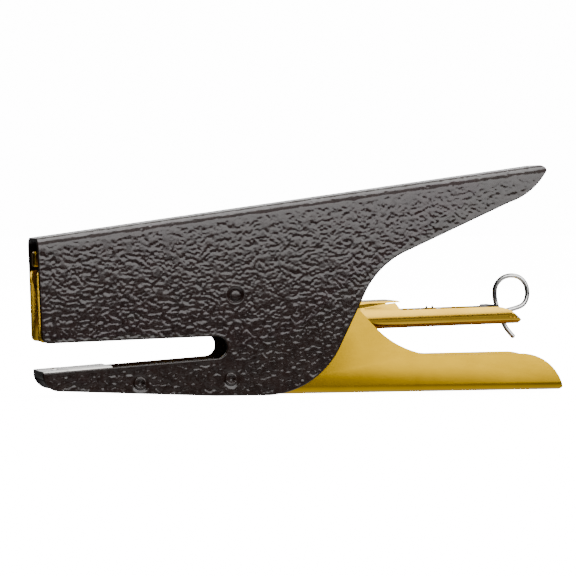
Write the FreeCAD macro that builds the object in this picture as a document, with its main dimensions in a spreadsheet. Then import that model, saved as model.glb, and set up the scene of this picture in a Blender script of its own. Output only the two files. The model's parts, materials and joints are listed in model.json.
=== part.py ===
"""Hand-held plier stapler: folded sheet body, squeeze lever, swinging magazine and follower.

Frame: +X runs from the staple mouth to the handle tips, Y across the body, +Z up.
The origin is at mid-length, on the mid-plane, at the height of the body's lowest edge.
All sizes are in millimetres and live in the sheet "Sizes".
"""
import FreeCAD, Part
import math
import os
import Sketcher
from FreeCAD import Rotation, Vector

SIZES = {
    # staples and what has to pass around them
    "staple_crown": 12.7, "staple_leg": 6.0, "staple_wire": 0.5, "strip_length": 26.0,
    "leg_lift": 0.1, "strip_gap": 0.05,
    "running_gap": 0.2, "slide_gap": 0.15, "channel_wall": 0.7, "lever_sheet": 1.0,
    "body_sheet": 1.1, "pin_fit": 0.05, "cut_margin": 5.0,
    # pivot
    "pivot_x": -20.5, "pivot_z": 28.85, "pin_radius": 1.65, "pin_ring_radius": 2.3,
    # body outline
    "jaw_reach": 56.0, "front_lean": 1.2, "front_top_z": 45.3, "top_angle": 8.1,
    "tip_reach": 93.35, "tip_round": 1.2, "tip_bow": 19.5, "tip_curl_x": 11.85, "tip_curl_z": 11.28,
    "fold_radius": 3.0, "neck_reach": 51.5, "neck_z": 41.7, "neck_bow": 25.1,
    "back_x": 18.2, "back_z": 30.2, "heel_x": 10.2, "heel_z": 13.5, "heel_bow": 24.7, "heel_run": 22.0,
    "keel_x": -26.0, "chin_rise": 1.75, "chin_bow": 4.75, "chin_back": 4.9,
    "jaw_slope": 0.077, "chin_inset": 0.45, "throat_depth": 53.7, "throat_low_z": 10.8,
    "throat_half": 3.15,
    "upper_jaw_rise": 1.8, "mouth_round": 2.0,
    # anvil
    "anvil_sheet": 1.0, "anvil_proud": 0.45, "anvil_cap": 7.4, "anvil_reach": 19.7,
    "anvil_skirt": 4.6, "anvil_curl": 0.4, "anvil_nose": 1.2, "anvil_skirt_start": 9.0,
    "anvil_skirt_slant": 2.0, "anvil_back_fall": 1.6, "anvil_back_run": 1.5, "anvil_tail": 0.7,
    "crimp_inset": 5.0, "crimp_radius": 1.5, "crimp_depth": 0.4, "crimp_inner": 0.76,
    "crimp_margin": 0.4, "cap_inset": 0.05,
    # rivets through the lower jaw
    "rivet_radius": 1.2, "rivet_head_radius": 2.0, "rivet_head_height": 0.3,
    "front_rivet_x": 28.4, "front_rivet_z": 3.85, "rear_rivet_x": 1.2, "rear_rivet_z": 4.8,
    # lever
    "lever_reach": 98.15, "lever_fold": 2.3, "lever_low_z": 0.22, "lever_tip_z": 0.8,
    "lever_wall_z": 11.1, "lever_tip_bow": 13.0, "lever_tip_run": 13.2, "lever_neck_x": 40.0,
    "lever_flare_x": 20.3, "lever_flare_z": 20.2, "lever_flare_bow": 27.0,
    "lever_back_x": 9.0, "lever_back_z": 32.0, "lever_hump_z": 34.5, "lever_toe_x": -12.0,
    "lever_brow_x": -21.2, "lever_brow_z": 10.9, "lever_notch": 3.3, "notch_back": 6.5,
    "notch_half": 2.4,
    "lever_hump_rise": 1.0, "lever_hump_bow": 40.0, "lever_end_round": 1.6, "lever_end_run": 1.0,
    "lever_end_rise": 0.7, "lever_swell": 0.3,
    "arm_back": 6.0, "arm_top_z": 41.8, "arm_low_z": 36.4, "arm_heel_z": 26.5, "arm_heel_x": 9.0,
    # tongue that drives the blade
    "tongue_z": 39.2, "tongue_height": 4.4, "tongue_width": 3.9, "tongue_round": 0.8,
    "tongue_proud": 1.15, "tongue_bar": 4.0, "tongue_inset": 1.2, "tongue_bar_gap": 0.3,
    "bridge_x": -54.0, "bridge_length": 12.0, "bridge_z": 36.6,
    # magazine, in its own frame: u along the channel from its front, v up from its underside
    "mag_tilt": 1.91, "mouth_recess": 1.1, "coil_clear": 0.3, "tail_reach": 85.6,
    "channel_side": 6.3, "channel_fold": 1.6, "inner_fold": 0.3, "hump_height": 7.4, "hump_start": 38.0,
    "hump_end": 47.7, "hump_fall": 1.7, "hump_crest": 4.2, "hump_dip": 0.35, "tail_side": 5.2,
    "tail_round": 0.8, "scoop_length": 7.6, "scoop_bow": 9.5,
    "ear_half": 4.0, "ear_radius": 3.2, "exit_slot": 0.8, "tail_slot": 3.6, "tail_slot_length": 5.8,
    "guide_sheet": 0.6, "guide_height": 13.8, "guide_proud": 1.9, "flank_height": 20.5,
    "guide_round": 1.5, "rail_sheet": 0.6,
    "rail_half": 5.6, "rail_slot": 2.4,
    "rail_end": 46.1, "slot_lead": 2.0, "slot_floor": 2.0, "cover_sheet": 0.6, "cover_gap": 0.7,
    "cover_end": 49.4, "cover_nose": 1.8, "cover_round": 2.4, "cover_start": 6.0,
    "skirt_gap": 0.2,
    "cover_tab": 6.0, "cover_tab_front": 8.0, "cover_tab_rear": 31.0,
    # driver blade
    "blade_sheet": 0.5, "blade_rest": 0.15, "blade_height": 20.2, "window_gap": 0.3,
    "blade_margin": 0.05, "blade_corner": 2.0,
    # follower and pusher
    "wire_radius": 0.7, "rod_height": 3.0, "rod_start": 24.0, "rod_short": 1.0, "tip_inset": 0.5,
    "tip_wall": 0.7, "pusher_length": 12.0,
    "pusher_gap": 0.3, "pusher_foot": 0.4, "pusher_play": 0.1, "pusher_sheet": 0.5,
    "pusher_stem": 1.0, "pusher_low": 1.2, "nut_radius": 1.8, "spring_radius": 2.2,
    "spring_end": 61.6, "stop_length": 1.4, "block_start": 73.2, "block_length": 6.0,
    "block_height": 5.0,
    "block_bump": 0.6, "block_step": 0.4, "block_round": 1.0, "ring_radius": 4.7, "eye_back": 5.3,
    "eye_lift": 6.0,
    "dent_back": 2.1, "dent_height": 2.1, "tail_dent": 0.55, "tail_dent_depth": 0.25,
    # springs between lever, magazine and body
    "sleeve_radius": 2.1, "coil_radius": 3.1, "coil_half": 2.2, "leg_radius": 0.45,
    "leg_overlap": 1.5, "roof_leg": 27.0,
    "peg_gap": 0.25, "peg_length": 1.6,
    "clamp_radius": 3.0, "clamp_wall": 0.8, "clamp_x": -48.0, "clamp_gap": 0.1,
}


class Term:
    """A value together with the sheet formula that gives it, so arithmetic stays bound to the sheet."""

    def __init__(self, value, text):
        self.value = value
        self.text = text

    def _join(self, sign, other, value):
        return Term(value, f"({self.text} {sign} {as_term(other).text})")

    def __add__(self, other):
        return self._join("+", other, self.value + as_term(other).value)

    def __sub__(self, other):
        return self._join("-", other, self.value - as_term(other).value)

    def __mul__(self, other):
        return self._join("*", other, self.value * as_term(other).value)

    def __truediv__(self, other):
        return self._join("/", other, self.value / as_term(other).value)

    def __neg__(self):
        return self * -1.0


def as_term(number):
    """Return the number as a Term; a bare number stands for itself."""
    if isinstance(number, Term):
        return number
    return Term(float(number), f"({float(number)})")


def tan(angle):
    """Tangent of a Term in degrees."""
    return Term(math.tan(math.radians(angle.value)), f"tan({angle.text} * 1 deg)")


def sin(angle):
    """Sine of a Term in degrees."""
    return Term(math.sin(math.radians(angle.value)), f"sin({angle.text} * 1 deg)")


def cos(angle):
    """Cosine of a Term in degrees."""
    return Term(math.cos(math.radians(angle.value)), f"cos({angle.text} * 1 deg)")


class Sheet:
    """The spreadsheet of driving sizes; attribute access gives a bound Term."""

    def __init__(self, doc, sizes):
        cells = doc.addObject("Spreadsheet::Sheet", "Sizes")
        for row, (alias, number) in enumerate(sizes.items(), start=1):
            cells.set(f"A{row}", alias)
            cells.set(f"B{row}", str(number))
            cells.setAlias(f"B{row}", alias)
        self._cells = cells

    def __getattr__(self, alias):
        return Term(float(getattr(self._cells, alias)), f"Sizes.{alias}")


doc = FreeCAD.newDocument("plier_stapler")
size = Sheet(doc, SIZES)
doc.recompute()
NODES = []

# ---------------------------------------------------------------- worked-out places and widths
channel_inner = size.staple_crown + size.running_gap * 2
channel_outer = channel_inner + size.channel_wall * 2
lever_inner = channel_outer + size.running_gap * 2
lever_outer = lever_inner + size.lever_sheet * 2
body_inner = lever_outer + size.running_gap * 2
body_width = body_inner + size.body_sheet * 2

front_x = size.pivot_x - size.jaw_reach
front_low_x = front_x + size.front_lean * 0.2
front_top_x = front_x - size.front_lean
tip_x = size.pivot_x + size.tip_reach
tip_z = size.front_top_z + (tip_x - front_top_x) * tan(size.top_angle)
tip_back_x = tip_x - size.tip_round * 1.55
tip_low_x = tip_x - size.tip_curl_x
tip_low_z = tip_z - size.tip_curl_z
neck_x = size.pivot_x + size.neck_reach
throat_x = front_x + size.throat_depth
throat_centre_x = throat_x - size.throat_half
throat_mid_z = size.throat_low_z + size.throat_half
throat_high_z = throat_mid_z + size.throat_half
mouth_z = throat_high_z - size.upper_jaw_rise
chin_x = front_x + size.chin_inset
jaw_front_z = size.throat_low_z - (throat_centre_x - chin_x) * size.jaw_slope
cap_back_x = chin_x + size.anvil_cap

mag_reach = size.jaw_reach - size.mouth_recess
tail_end = mag_reach + size.tail_reach
pivot_u = mag_reach
blade_front = size.guide_sheet + size.slide_gap
slot_back = size.guide_sheet + size.exit_slot
crown_top = size.channel_wall + size.leg_lift + size.staple_leg
rail_top = crown_top - size.staple_wire
strip_start = slot_back + size.strip_gap
pusher_start = strip_start + size.strip_length + size.pusher_play
cover_low = crown_top + size.cover_gap
cover_top = cover_low + size.cover_sheet
pusher_top = cover_low - size.pusher_gap
pivot_v = cover_top + size.coil_radius + size.coil_clear
lever_tip_x = size.pivot_x + size.lever_reach


# ---------------------------------------------------------------- building blocks
def plane_of(body, role):
    """Return the body's own origin plane with the given role."""
    return next(item for item in body.Origin.OriginFeatures if item.Role == role)


def new_body(label):
    """Start a sub-part: a PartDesign body whose label names its file."""
    body = doc.addObject("PartDesign::Body", label)
    body.Label = label
    NODES.append(body)
    return body


def new_sketch(body, name, role="XZ_Plane", shift=None):
    """Add a sketch on one of the body's planes, moved along the plane's normal by shift."""
    sketch = body.newObject("Sketcher::SketchObject", f"{body.Name}_{name}")
    sketch.AttachmentSupport = [(plane_of(body, role), "")]
    sketch.MapMode = "FlatFace"
    if shift is not None:
        sketch.setExpression("AttachmentOffset.Base.z", shift.text)
    return sketch


def hold(sketch, kind, *args):
    """Add a dimension to the sketch and bind it to the Term given last."""
    term = as_term(args[-1])
    index = sketch.addConstraint(Sketcher.Constraint(kind, *args[:-1], term.value))
    sketch.setExpression(f"Constraints[{index}]", term.text)


def arc_between(start, end, radius):
    """Return the arc from start to end: positive radius turns left, negative turns right."""
    chord = math.dist(start, end)
    reach = math.sqrt(max(radius * radius - chord * chord / 4, 0.0))
    side = math.copysign(1.0, radius)
    across = ((start[1] - end[1]) / chord * side, (end[0] - start[0]) / chord * side)
    centre = ((start[0] + end[0]) / 2 + across[0] * reach, (start[1] + end[1]) / 2 + across[1] * reach)
    first, last = (start, end) if radius > 0 else (end, start)
    angles = [math.atan2(point[1] - centre[1], point[0] - centre[0]) for point in (first, last)]
    circle = Part.Circle(Vector(centre[0], centre[1], 0), Vector(0, 0, 1), abs(radius))
    return Part.ArcOfCircle(circle, angles[0], angles[1])


def outline(sketch, corners):
    """Draw a closed outline of (x, z) or (x, z, radius) corners, every corner bound to the sheet.

    A radius makes the stretch that arrives at that corner an arc: positive turns left, negative right.
    """
    corners = [tuple(as_term(item) for item in corner) for corner in corners]
    edges = []
    for index, corner in enumerate(corners):
        before = corners[index - 1]
        start = (before[0].value, before[1].value)
        end = (corner[0].value, corner[1].value)
        if len(corner) == 3:
            radius = corner[2]
            geometry = sketch.addGeometry(arc_between(start, end, radius.value), False)
            ends = (1, 2) if radius.value > 0 else (2, 1)
            edges.append((geometry, ends, radius))
        else:
            line = Part.LineSegment(Vector(*start, 0), Vector(*end, 0))
            edges.append((sketch.addGeometry(line, False), (1, 2), None))
    for index, corner in enumerate(corners):
        geometry, ends, _ = edges[index]
        following, next_ends, _ = edges[(index + 1) % len(edges)]
        sketch.addConstraint(Sketcher.Constraint("Coincident", geometry, ends[1], following, next_ends[0]))
    for corner, (geometry, ends, radius) in zip(corners, edges):
        hold(sketch, "DistanceX", -1, 1, geometry, ends[1], corner[0])
        hold(sketch, "DistanceY", -1, 1, geometry, ends[1], corner[1])
        if radius is not None:
            hold(sketch, "Radius", geometry, radius if radius.value > 0 else -radius)


def circle(sketch, x, z, radius):
    """Draw a circle bound to the sheet."""
    x, z, radius = as_term(x), as_term(z), as_term(radius)
    round_edge = Part.Circle(Vector(x.value, z.value, 0), Vector(0, 0, 1), radius.value)
    geometry = sketch.addGeometry(round_edge, False)
    hold(sketch, "DistanceX", -1, 1, geometry, 3, x)
    hold(sketch, "DistanceY", -1, 1, geometry, 3, z)
    hold(sketch, "Radius", geometry, radius)


def box_outline(sketch, x_low, x_high, z_low, z_high):
    """Draw a rectangle bound to the sheet."""
    outline(sketch, [(x_low, z_low), (x_high, z_low), (x_high, z_high), (x_low, z_high)])


def extrude(body, kind, name, sketch, length, side="Symmetric", reverse=False):
    """Pad or pocket a sketch; the length is bound to the sheet."""
    feature = body.newObject(f"PartDesign::{kind}", f"{body.Name}_{name}")
    feature.Profile = sketch
    feature.SideType = side
    feature.Reversed = reverse
    feature.setExpression("Length", as_term(length).text)
    doc.recompute()
    return feature


def pad(body, name, sketch, length, **options):
    """Add material."""
    return extrude(body, "Pad", name, sketch, length, **options)


def pocket(body, name, sketch, length, **options):
    """Remove material, and make sure that some was removed."""
    before = body.Tip.Shape.Volume
    feature = extrude(body, "Pocket", name, sketch, length, **options)
    if feature.Shape.Volume >= before - 1e-6:
        raise RuntimeError(f"{feature.Name} cuts nothing")
    return feature


def dress(body, kind, name, pick, amount):
    """Fillet or chamfer the edges of the body's last feature that pick accepts."""
    base = body.Tip
    edges = [f"Edge{i + 1}" for i, edge in enumerate(base.Shape.Edges) if pick(edge)]
    if not edges:
        raise RuntimeError(f"{body.Name}_{name} finds no edges")
    feature = body.newObject(f"PartDesign::{kind}", f"{body.Name}_{name}")
    feature.Base = (base, edges)
    feature.setExpression("Radius" if kind == "Fillet" else "Size", as_term(amount).text)
    doc.recompute()
    return feature


def along(edge, direction, slack=1e-3):
    """True for a straight edge that runs along direction."""
    if edge.Curve.TypeId != "Part::GeomLine":
        return False
    run = edge.Vertexes[-1].Point - edge.Vertexes[0].Point
    return run.normalize().cross(direction).Length < slack


def beside(edge, y, slack=1e-3):
    """True if the whole edge lies at distance y from the mid-plane."""
    return all(abs(abs(vertex.Y) - y.value) < slack for vertex in edge.Vertexes)


def at_xz(edge, x, z, slack=1e-2):
    """True if the edge passes across the sheet at (x, z)."""
    return all(math.dist((v.X, v.Z), (as_term(x).value, as_term(z).value)) < slack for v in edge.Vertexes)


def magazine_frame(body):
    """Place a sub-part drawn in the magazine's frame: tilted, and hung from the pivot."""
    tilt = size.mag_tilt
    body.Placement.Rotation = Rotation(Vector(0, -1, 0), tilt.value)
    body.setExpression("Placement.Rotation.Angle", tilt.text)
    along_x = mag_reach * cos(tilt) - pivot_v * sin(tilt)
    along_z = mag_reach * sin(tilt) + pivot_v * cos(tilt)
    body.setExpression("Placement.Base.x", (size.pivot_x - along_x).text)
    body.setExpression("Placement.Base.z", (size.pivot_z - along_z).text)


def magazine_point(u, v):
    """Return the row-frame position of a point on the mid-plane of the magazine."""
    tilt = math.radians(size.mag_tilt.value)
    du, dv = as_term(u).value - mag_reach.value, as_term(v).value - pivot_v.value
    x = size.pivot_x.value + du * math.cos(tilt) - dv * math.sin(tilt)
    z = size.pivot_z.value + du * math.sin(tilt) + dv * math.cos(tilt)
    return Vector(x, 0, z)


def round_bar(label, x, z, radius, width, bore=None):
    """Make a straight round bar or tube across the body."""
    body = new_body(label)
    profile = new_sketch(body, "section")
    circle(profile, x, z, radius)
    if bore is not None:
        circle(profile, x, z, bore)
    pad(body, "bar", profile, width)
    return body


# ---------------------------------------------------------------- body: one folded sheet
def make_body_shell():
    """Folded U of sheet steel: upper handle, upper jaw, throat and lower jaw in one piece."""
    body = new_body("body_shell")
    side = new_sketch(body, "side")
    outline(side, [
        (front_top_x, size.front_top_z),
        (front_low_x, mouth_z),
        (throat_centre_x, throat_high_z),
        (throat_x, throat_mid_z, -size.throat_half),
        (throat_centre_x, size.throat_low_z, -size.throat_half),
        (chin_x, jaw_front_z),
        (chin_x + size.chin_back, size.chin_rise, size.chin_bow),
        (size.keel_x, 0.0),
        (size.heel_x - size.heel_run, 0.0),
        (size.heel_x, size.heel_z, size.heel_bow),
        (size.back_x, size.back_z),
        (neck_x, size.neck_z, -size.neck_bow),
        (tip_low_x, tip_low_z),
        (tip_x - size.tip_round * 0.45, tip_z - size.tip_round * 1.5, size.tip_bow),
        (tip_back_x, tip_z - (tip_x - tip_back_x) * tan(size.top_angle), size.tip_round * 1.25),
    ])
    pad(body, "sheet", side, body_width)
    rise = math.radians(size.top_angle.value)
    top = Vector(math.cos(rise), 0, math.sin(rise))
    dress(body, "Fillet", "fold", lambda e: along(e, top) and beside(e, body_width / 2), size.fold_radius)

    hollow = new_sketch(body, "hollow")
    drop = size.body_sheet / cos(size.top_angle)
    margin = size.cut_margin
    left_x = front_top_x - margin
    right_x = tip_x + margin
    outline(hollow, [
        (left_x, size.front_top_z - tan(size.top_angle) * margin - drop),
        (left_x, -margin),
        (right_x, -margin),
        (right_x, tip_z + tan(size.top_angle) * margin - drop),
    ])
    pocket(body, "inside", hollow, body_inner)
    inner_fold = size.fold_radius - size.body_sheet
    roof = [e for e in body.Tip.Shape.Edges if along(e, top) and beside(e, body_inner / 2)]
    highest = max(e.BoundBox.ZMax for e in roof)
    dress(body, "Fillet", "inner_fold", lambda e: along(e, top) and beside(e, body_inner / 2)
          and e.BoundBox.ZMax > highest - 1.0, inner_fold)
    across = Vector(0, 1, 0)
    dress(body, "Fillet", "mouth", lambda e: along(e, across) and at_xz(e, front_low_x, mouth_z),
          size.mouth_round)

    holes = new_sketch(body, "holes")
    circle(holes, size.pivot_x, size.pivot_z, size.pin_radius)
    circle(holes, front_x + size.front_rivet_x, size.front_rivet_z, size.rivet_radius)
    circle(holes, size.pivot_x - size.rear_rivet_x, size.rear_rivet_z, size.rivet_radius)
    pocket(body, "drilled", holes, body_width + size.cut_margin)

    def pin_rim(edge):
        """Outer rim of a pivot hole."""
        if edge.Curve.TypeId != "Part::GeomCircle" or not beside(edge, body_width / 2):
            return False
        centre = edge.Curve.Center
        return math.dist((centre.x, centre.z), (size.pivot_x.value, size.pivot_z.value)) < 1e-3

    dress(body, "Chamfer", "pin_sink", pin_rim, size.pin_ring_radius - size.pin_radius)


def make_anvil():
    """Anvil: a channel inside the lower jaw with a full-width cap and a curled nose."""
    body = new_body("anvil_plate")
    slope = size.jaw_slope
    end_x = chin_x + size.anvil_reach
    back_x = end_x + size.anvil_back_run
    tail_x = size.pivot_x + size.anvil_tail
    skirt_x = chin_x + size.anvil_skirt_start
    front_z = jaw_front_z + size.anvil_proud
    under_z = front_z - size.anvil_sheet
    end_z = front_z + size.anvil_reach * slope
    skirt_z = under_z + slope * (size.anvil_skirt_start - size.anvil_sheet)
    side = new_sketch(body, "side")
    outline(side, [
        (chin_x, front_z),
        (chin_x, under_z - size.anvil_nose),
        (chin_x + size.anvil_sheet, under_z - size.anvil_nose),
        (chin_x + size.anvil_sheet, under_z),
        (skirt_x, skirt_z),
        (skirt_x + size.anvil_skirt_slant, under_z - size.anvil_skirt),
        (tail_x, size.front_rivet_z - size.rivet_radius * 1.7),
        (tail_x, size.rear_rivet_z + size.rivet_radius * 1.8),
        (back_x, end_z - size.anvil_back_fall),
        (end_x, end_z),
    ])
    pad(body, "sheet", side, body_inner)
    inside = new_sketch(body, "inside")
    outline(inside, [
        (skirt_x, skirt_z),
        (skirt_x, -size.cut_margin),
        (tail_x + size.cut_margin, -size.cut_margin),
        (tail_x + size.cut_margin, end_z - size.anvil_back_fall * 2),
        (back_x, end_z - size.anvil_back_fall - size.anvil_sheet),
        (end_x, end_z - size.anvil_sheet),
    ])
    pocket(body, "hollow", inside, body_inner - size.anvil_sheet * 2)
    cap = new_sketch(body, "cap")
    outline(cap, [
        (chin_x, front_z),
        (chin_x, jaw_front_z),
        (cap_back_x, jaw_front_z + slope * size.anvil_cap),
        (cap_back_x, front_z + slope * size.anvil_cap),
    ])
    pad(body, "full_width", cap, body_width - size.cap_inset * 2)
    dress(body, "Fillet", "curl", lambda e: along(e, Vector(0, 1, 0)) and at_xz(e, chin_x, front_z),
          size.anvil_curl)
    holes = new_sketch(body, "holes")
    circle(holes, front_x + size.front_rivet_x, size.front_rivet_z, size.rivet_radius)
    circle(holes, size.pivot_x - size.rear_rivet_x, size.rear_rivet_z, size.rivet_radius)
    pocket(body, "drilled", holes, body_width + size.cut_margin)
    crimp_x = front_x + size.crimp_inset
    crimp_z = front_z + (crimp_x - chin_x) * slope + size.crimp_radius - size.crimp_depth
    inner_y, outer_y = size.crimp_inner, size.staple_crown / 2 + size.crimp_margin
    for name, start in (("near", inner_y), ("far", -outer_y)):
        groove = new_sketch(body, f"crimp_{name}", shift=start)
        circle(groove, crimp_x, crimp_z, size.crimp_radius)
        pocket(body, f"groove_{name}", groove, outer_y - inner_y, side="One side", reverse=True)


def make_rivet(label, x, z):
    """Dome-headed rivet through both walls of the lower jaw."""
    body = new_body(label)
    profile = new_sketch(body, "half", role="XY_Plane")
    head, height = size.rivet_head_radius, size.rivet_head_height
    dome = (head * head + height * height) / (height * 2)
    half = body_width / 2
    outline(profile, [
        (0.0, -half - height),
        (head, -half, dome),
        (size.rivet_radius, -half),
        (size.rivet_radius, half),
        (head, half),
        (0.0, half + height, dome),
    ])
    turned = body.newObject("PartDesign::Revolution", f"{label}_turned")
    turned.Profile = profile
    turned.ReferenceAxis = (profile, ["V_Axis"])
    body.setExpression("Placement.Base.x", x.text)
    body.setExpression("Placement.Base.z", z.text)
    doc.recompute()


# ---------------------------------------------------------------- lever
def make_lever():
    """Lower handle: a brass channel folded along the bottom, with two arms over the magazine."""
    body = new_body("lever_channel")
    arm_x = front_x + size.arm_back
    notch_x = throat_centre_x + size.notch_back
    slope = (size.lever_tip_z - size.lever_low_z) / (lever_tip_x - size.lever_toe_x)
    side = new_sketch(body, "side")
    outline(side, [
        (lever_tip_x - size.lever_end_run, size.lever_tip_z),
        (lever_tip_x, size.lever_tip_z + size.lever_end_rise, size.lever_end_round),
        (lever_tip_x - size.lever_tip_run, size.lever_wall_z + size.lever_swell, size.lever_tip_bow),
        (size.lever_neck_x, size.lever_wall_z),
        (size.lever_flare_x, size.lever_flare_z, -size.lever_flare_bow),
        (size.lever_back_x, size.lever_back_z),
        (size.pivot_x, size.lever_hump_z + size.lever_hump_rise, size.lever_hump_bow),
        (arm_x, size.arm_top_z),
        (arm_x, size.arm_low_z),
        (size.pivot_x - size.arm_heel_x, size.arm_heel_z),
        (notch_x, throat_mid_z + size.notch_half),
        (notch_x, throat_mid_z - size.notch_half, -size.lever_notch),
        (size.lever_brow_x, size.lever_brow_z),
        (size.lever_toe_x, size.lever_low_z),
    ])
    pad(body, "sheet", side, lever_outer)
    floor = Vector(1, 0, slope.value)
    dress(body, "Fillet", "fold", lambda e: along(e, floor.normalize()) and beside(e, lever_outer / 2)
          and e.BoundBox.ZMax < size.lever_tip_z.value + 0.1, size.lever_fold)
    hollow = new_sketch(body, "hollow")
    margin = size.cut_margin
    floor_z = size.lever_low_z + size.lever_sheet
    outline(hollow, [
        (lever_tip_x + margin, size.lever_tip_z + slope * margin + size.lever_sheet),
        (lever_tip_x + margin, size.arm_top_z + margin),
        (arm_x - margin, size.arm_top_z + margin),
        (arm_x - margin, floor_z + slope * (arm_x - margin - size.lever_toe_x)),
    ])
    pocket(body, "inside", hollow, lever_inner)
    low = size.lever_tip_z.value + size.lever_sheet.value + 0.1
    dress(body, "Fillet", "inner_fold", lambda e: along(e, floor) and beside(e, lever_inner / 2)
          and e.BoundBox.ZMax < low, size.lever_fold - size.lever_sheet)
    bore = new_sketch(body, "bore")
    circle(bore, size.pivot_x, size.pivot_z, size.pin_radius + size.pin_fit)
    pocket(body, "bored", bore, lever_outer + size.cut_margin)


def make_tongue():
    """Cross bar between the arms with the tongue that reaches through the driver blade."""
    body = new_body("drive_tongue")
    arm_x = front_x + size.arm_back
    half = size.tongue_height / 2
    nose_x = front_top_x - size.tongue_proud + size.tongue_inset
    bar_x = arm_x + size.tongue_bar_gap
    low, high = size.tongue_z - half, size.tongue_z + half
    side = new_sketch(body, "side")
    box_outline(side, nose_x, bar_x + size.tongue_bar / 2, low, high)
    pad(body, "nose", side, size.tongue_width)
    dress(body, "Fillet", "soft", lambda e: not along(e, Vector(0, 1, 0))
          or e.BoundBox.XMax < nose_x.value + 0.1, size.tongue_round)
    bar = new_sketch(body, "bar")
    box_outline(bar, bar_x, bar_x + size.tongue_bar, low, high)
    pad(body, "cross_bar", bar, lever_inner)


def make_bridge():
    """Plate between the arms that the clamp spring pushes against."""
    body = new_body("spring_bridge")
    side = new_sketch(body, "side")
    end_x = size.bridge_x + size.bridge_length
    box_outline(side, size.bridge_x, end_x, size.bridge_z - size.lever_sheet, size.bridge_z)
    pad(body, "plate", side, lever_inner)
    spigot = new_sketch(body, "spigot", role="XY_Plane", shift=size.bridge_z - size.lever_sheet)
    circle(spigot, size.clamp_x, 0.0, size.clamp_radius - size.clamp_wall - size.peg_gap)
    pad(body, "peg", spigot, size.peg_length, side="One side", reverse=True)


# ---------------------------------------------------------------- magazine
def make_channel():
    """Brass channel that holds the staples, with ears at the pivot and an open tail."""
    body = new_body("magazine_channel")
    u = pivot_u
    side = new_sketch(body, "side")
    ear = size.ear_half
    outline(side, [
        (size.guide_sheet, 0.0),
        (tail_end - size.tail_round * 0.75, 0.0),
        (tail_end, size.tail_round * 0.875, size.tail_round),
        (tail_end - size.scoop_length, size.tail_side - 0.1, size.scoop_bow),
        (u + size.hump_end + size.hump_fall, size.tail_side),
        (u + size.hump_end, size.hump_height),
        (u + size.hump_end - size.hump_crest, size.hump_height - size.hump_dip),
        (u + size.hump_start, size.channel_side),
        (u + ear, size.channel_side),
        (u + size.ear_radius, pivot_v),
        (u, pivot_v + size.ear_radius, size.ear_radius),
        (u - size.ear_radius, pivot_v, size.ear_radius),
        (u - ear, size.channel_side),
        (size.guide_sheet, size.channel_side),
    ])
    pad(body, "sheet", side, channel_outer)
    run = Vector(1, 0, 0)
    dress(body, "Fillet", "fold", lambda e: along(e, run) and beside(e, channel_outer / 2)
          and e.BoundBox.ZMax < 1e-3, size.channel_fold)
    hollow = new_sketch(body, "hollow")
    box_outline(hollow, -size.cut_margin, tail_end + size.cut_margin, size.channel_wall, pivot_v * 2)
    pocket(body, "inside", hollow, channel_inner)
    dress(body, "Fillet", "inner_fold", lambda e: along(e, run) and beside(e, channel_inner / 2)
          and e.BoundBox.ZMax < size.channel_wall.value + 1e-3, size.inner_fold)
    exit_cut = new_sketch(body, "exit")
    box_outline(exit_cut, -1.0, slot_back, -1.0, size.channel_wall + size.inner_fold * 2)
    pocket(body, "exit_cut", exit_cut, channel_inner)
    tail_cut = new_sketch(body, "tail")
    box_outline(tail_cut, tail_end - size.tail_slot_length, tail_end + size.cut_margin, -1.0,
                size.channel_wall + size.inner_fold * 2)
    pocket(body, "tail_cut", tail_cut, size.tail_slot)
    bore = new_sketch(body, "bore")
    circle(bore, u, pivot_v, size.pin_radius + size.pin_fit)
    pocket(body, "bored", bore, channel_outer + size.cut_margin)
    for name, shift in (("near", channel_outer / 2), ("far", -channel_outer / 2)):
        dents = new_sketch(body, f"dents_{name}", shift=shift)
        circle(dents, tail_end - size.dent_back * 1.6, size.dent_height + 0.2, size.tail_dent)
        circle(dents, tail_end - size.dent_back, size.dent_height, size.tail_dent)
        pocket(body, f"dented_{name}", dents, size.tail_dent_depth, side="One side", reverse=name == "far")
    magazine_frame(body)


def make_guide():
    """Front plate that closes the magazine and guides the blade between two flanks."""
    body = new_body("front_guide")
    margin = size.cut_margin
    side = new_sketch(body, "side")
    box_outline(side, -size.guide_proud, size.guide_sheet, 0.0, size.flank_height)
    pad(body, "flanks", side, channel_outer)
    dress(body, "Fillet", "noses", lambda e: along(e, Vector(0, 1, 0)) and e.BoundBox.XMax < 0.0,
          size.guide_round)
    middle = new_sketch(body, "middle")
    outline(middle, [
        (-size.guide_proud - margin, -margin),
        (0.0, -margin),
        (0.0, size.guide_height),
        (size.guide_sheet + margin, size.guide_height),
        (size.guide_sheet + margin, size.flank_height + margin),
        (-size.guide_proud - margin, size.flank_height + margin),
    ])
    pocket(body, "open_middle", middle, channel_outer - size.guide_sheet * 2)
    magazine_frame(body)


def make_rail():
    """Inverted channel that the staples straddle, slotted for the pusher."""
    body = new_body("staple_rail")
    end = pivot_u + size.rail_end
    side = new_sketch(body, "side")
    box_outline(side, strip_start, end, size.channel_wall, rail_top)
    pad(body, "sheet", side, size.rail_half * 2)
    hollow = new_sketch(body, "hollow")
    box_outline(hollow, 0.0, end + size.cut_margin, -1.0, rail_top - size.rail_sheet)
    pocket(body, "inside", hollow, (size.rail_half - size.rail_sheet) * 2)
    slot = new_sketch(body, "slot")
    box_outline(slot, strip_start + size.strip_length - size.slot_lead, end + size.cut_margin,
                size.slot_floor, rail_top + 1.0)
    pocket(body, "pusher_slot", slot, size.rail_slot)
    magazine_frame(body)


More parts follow.
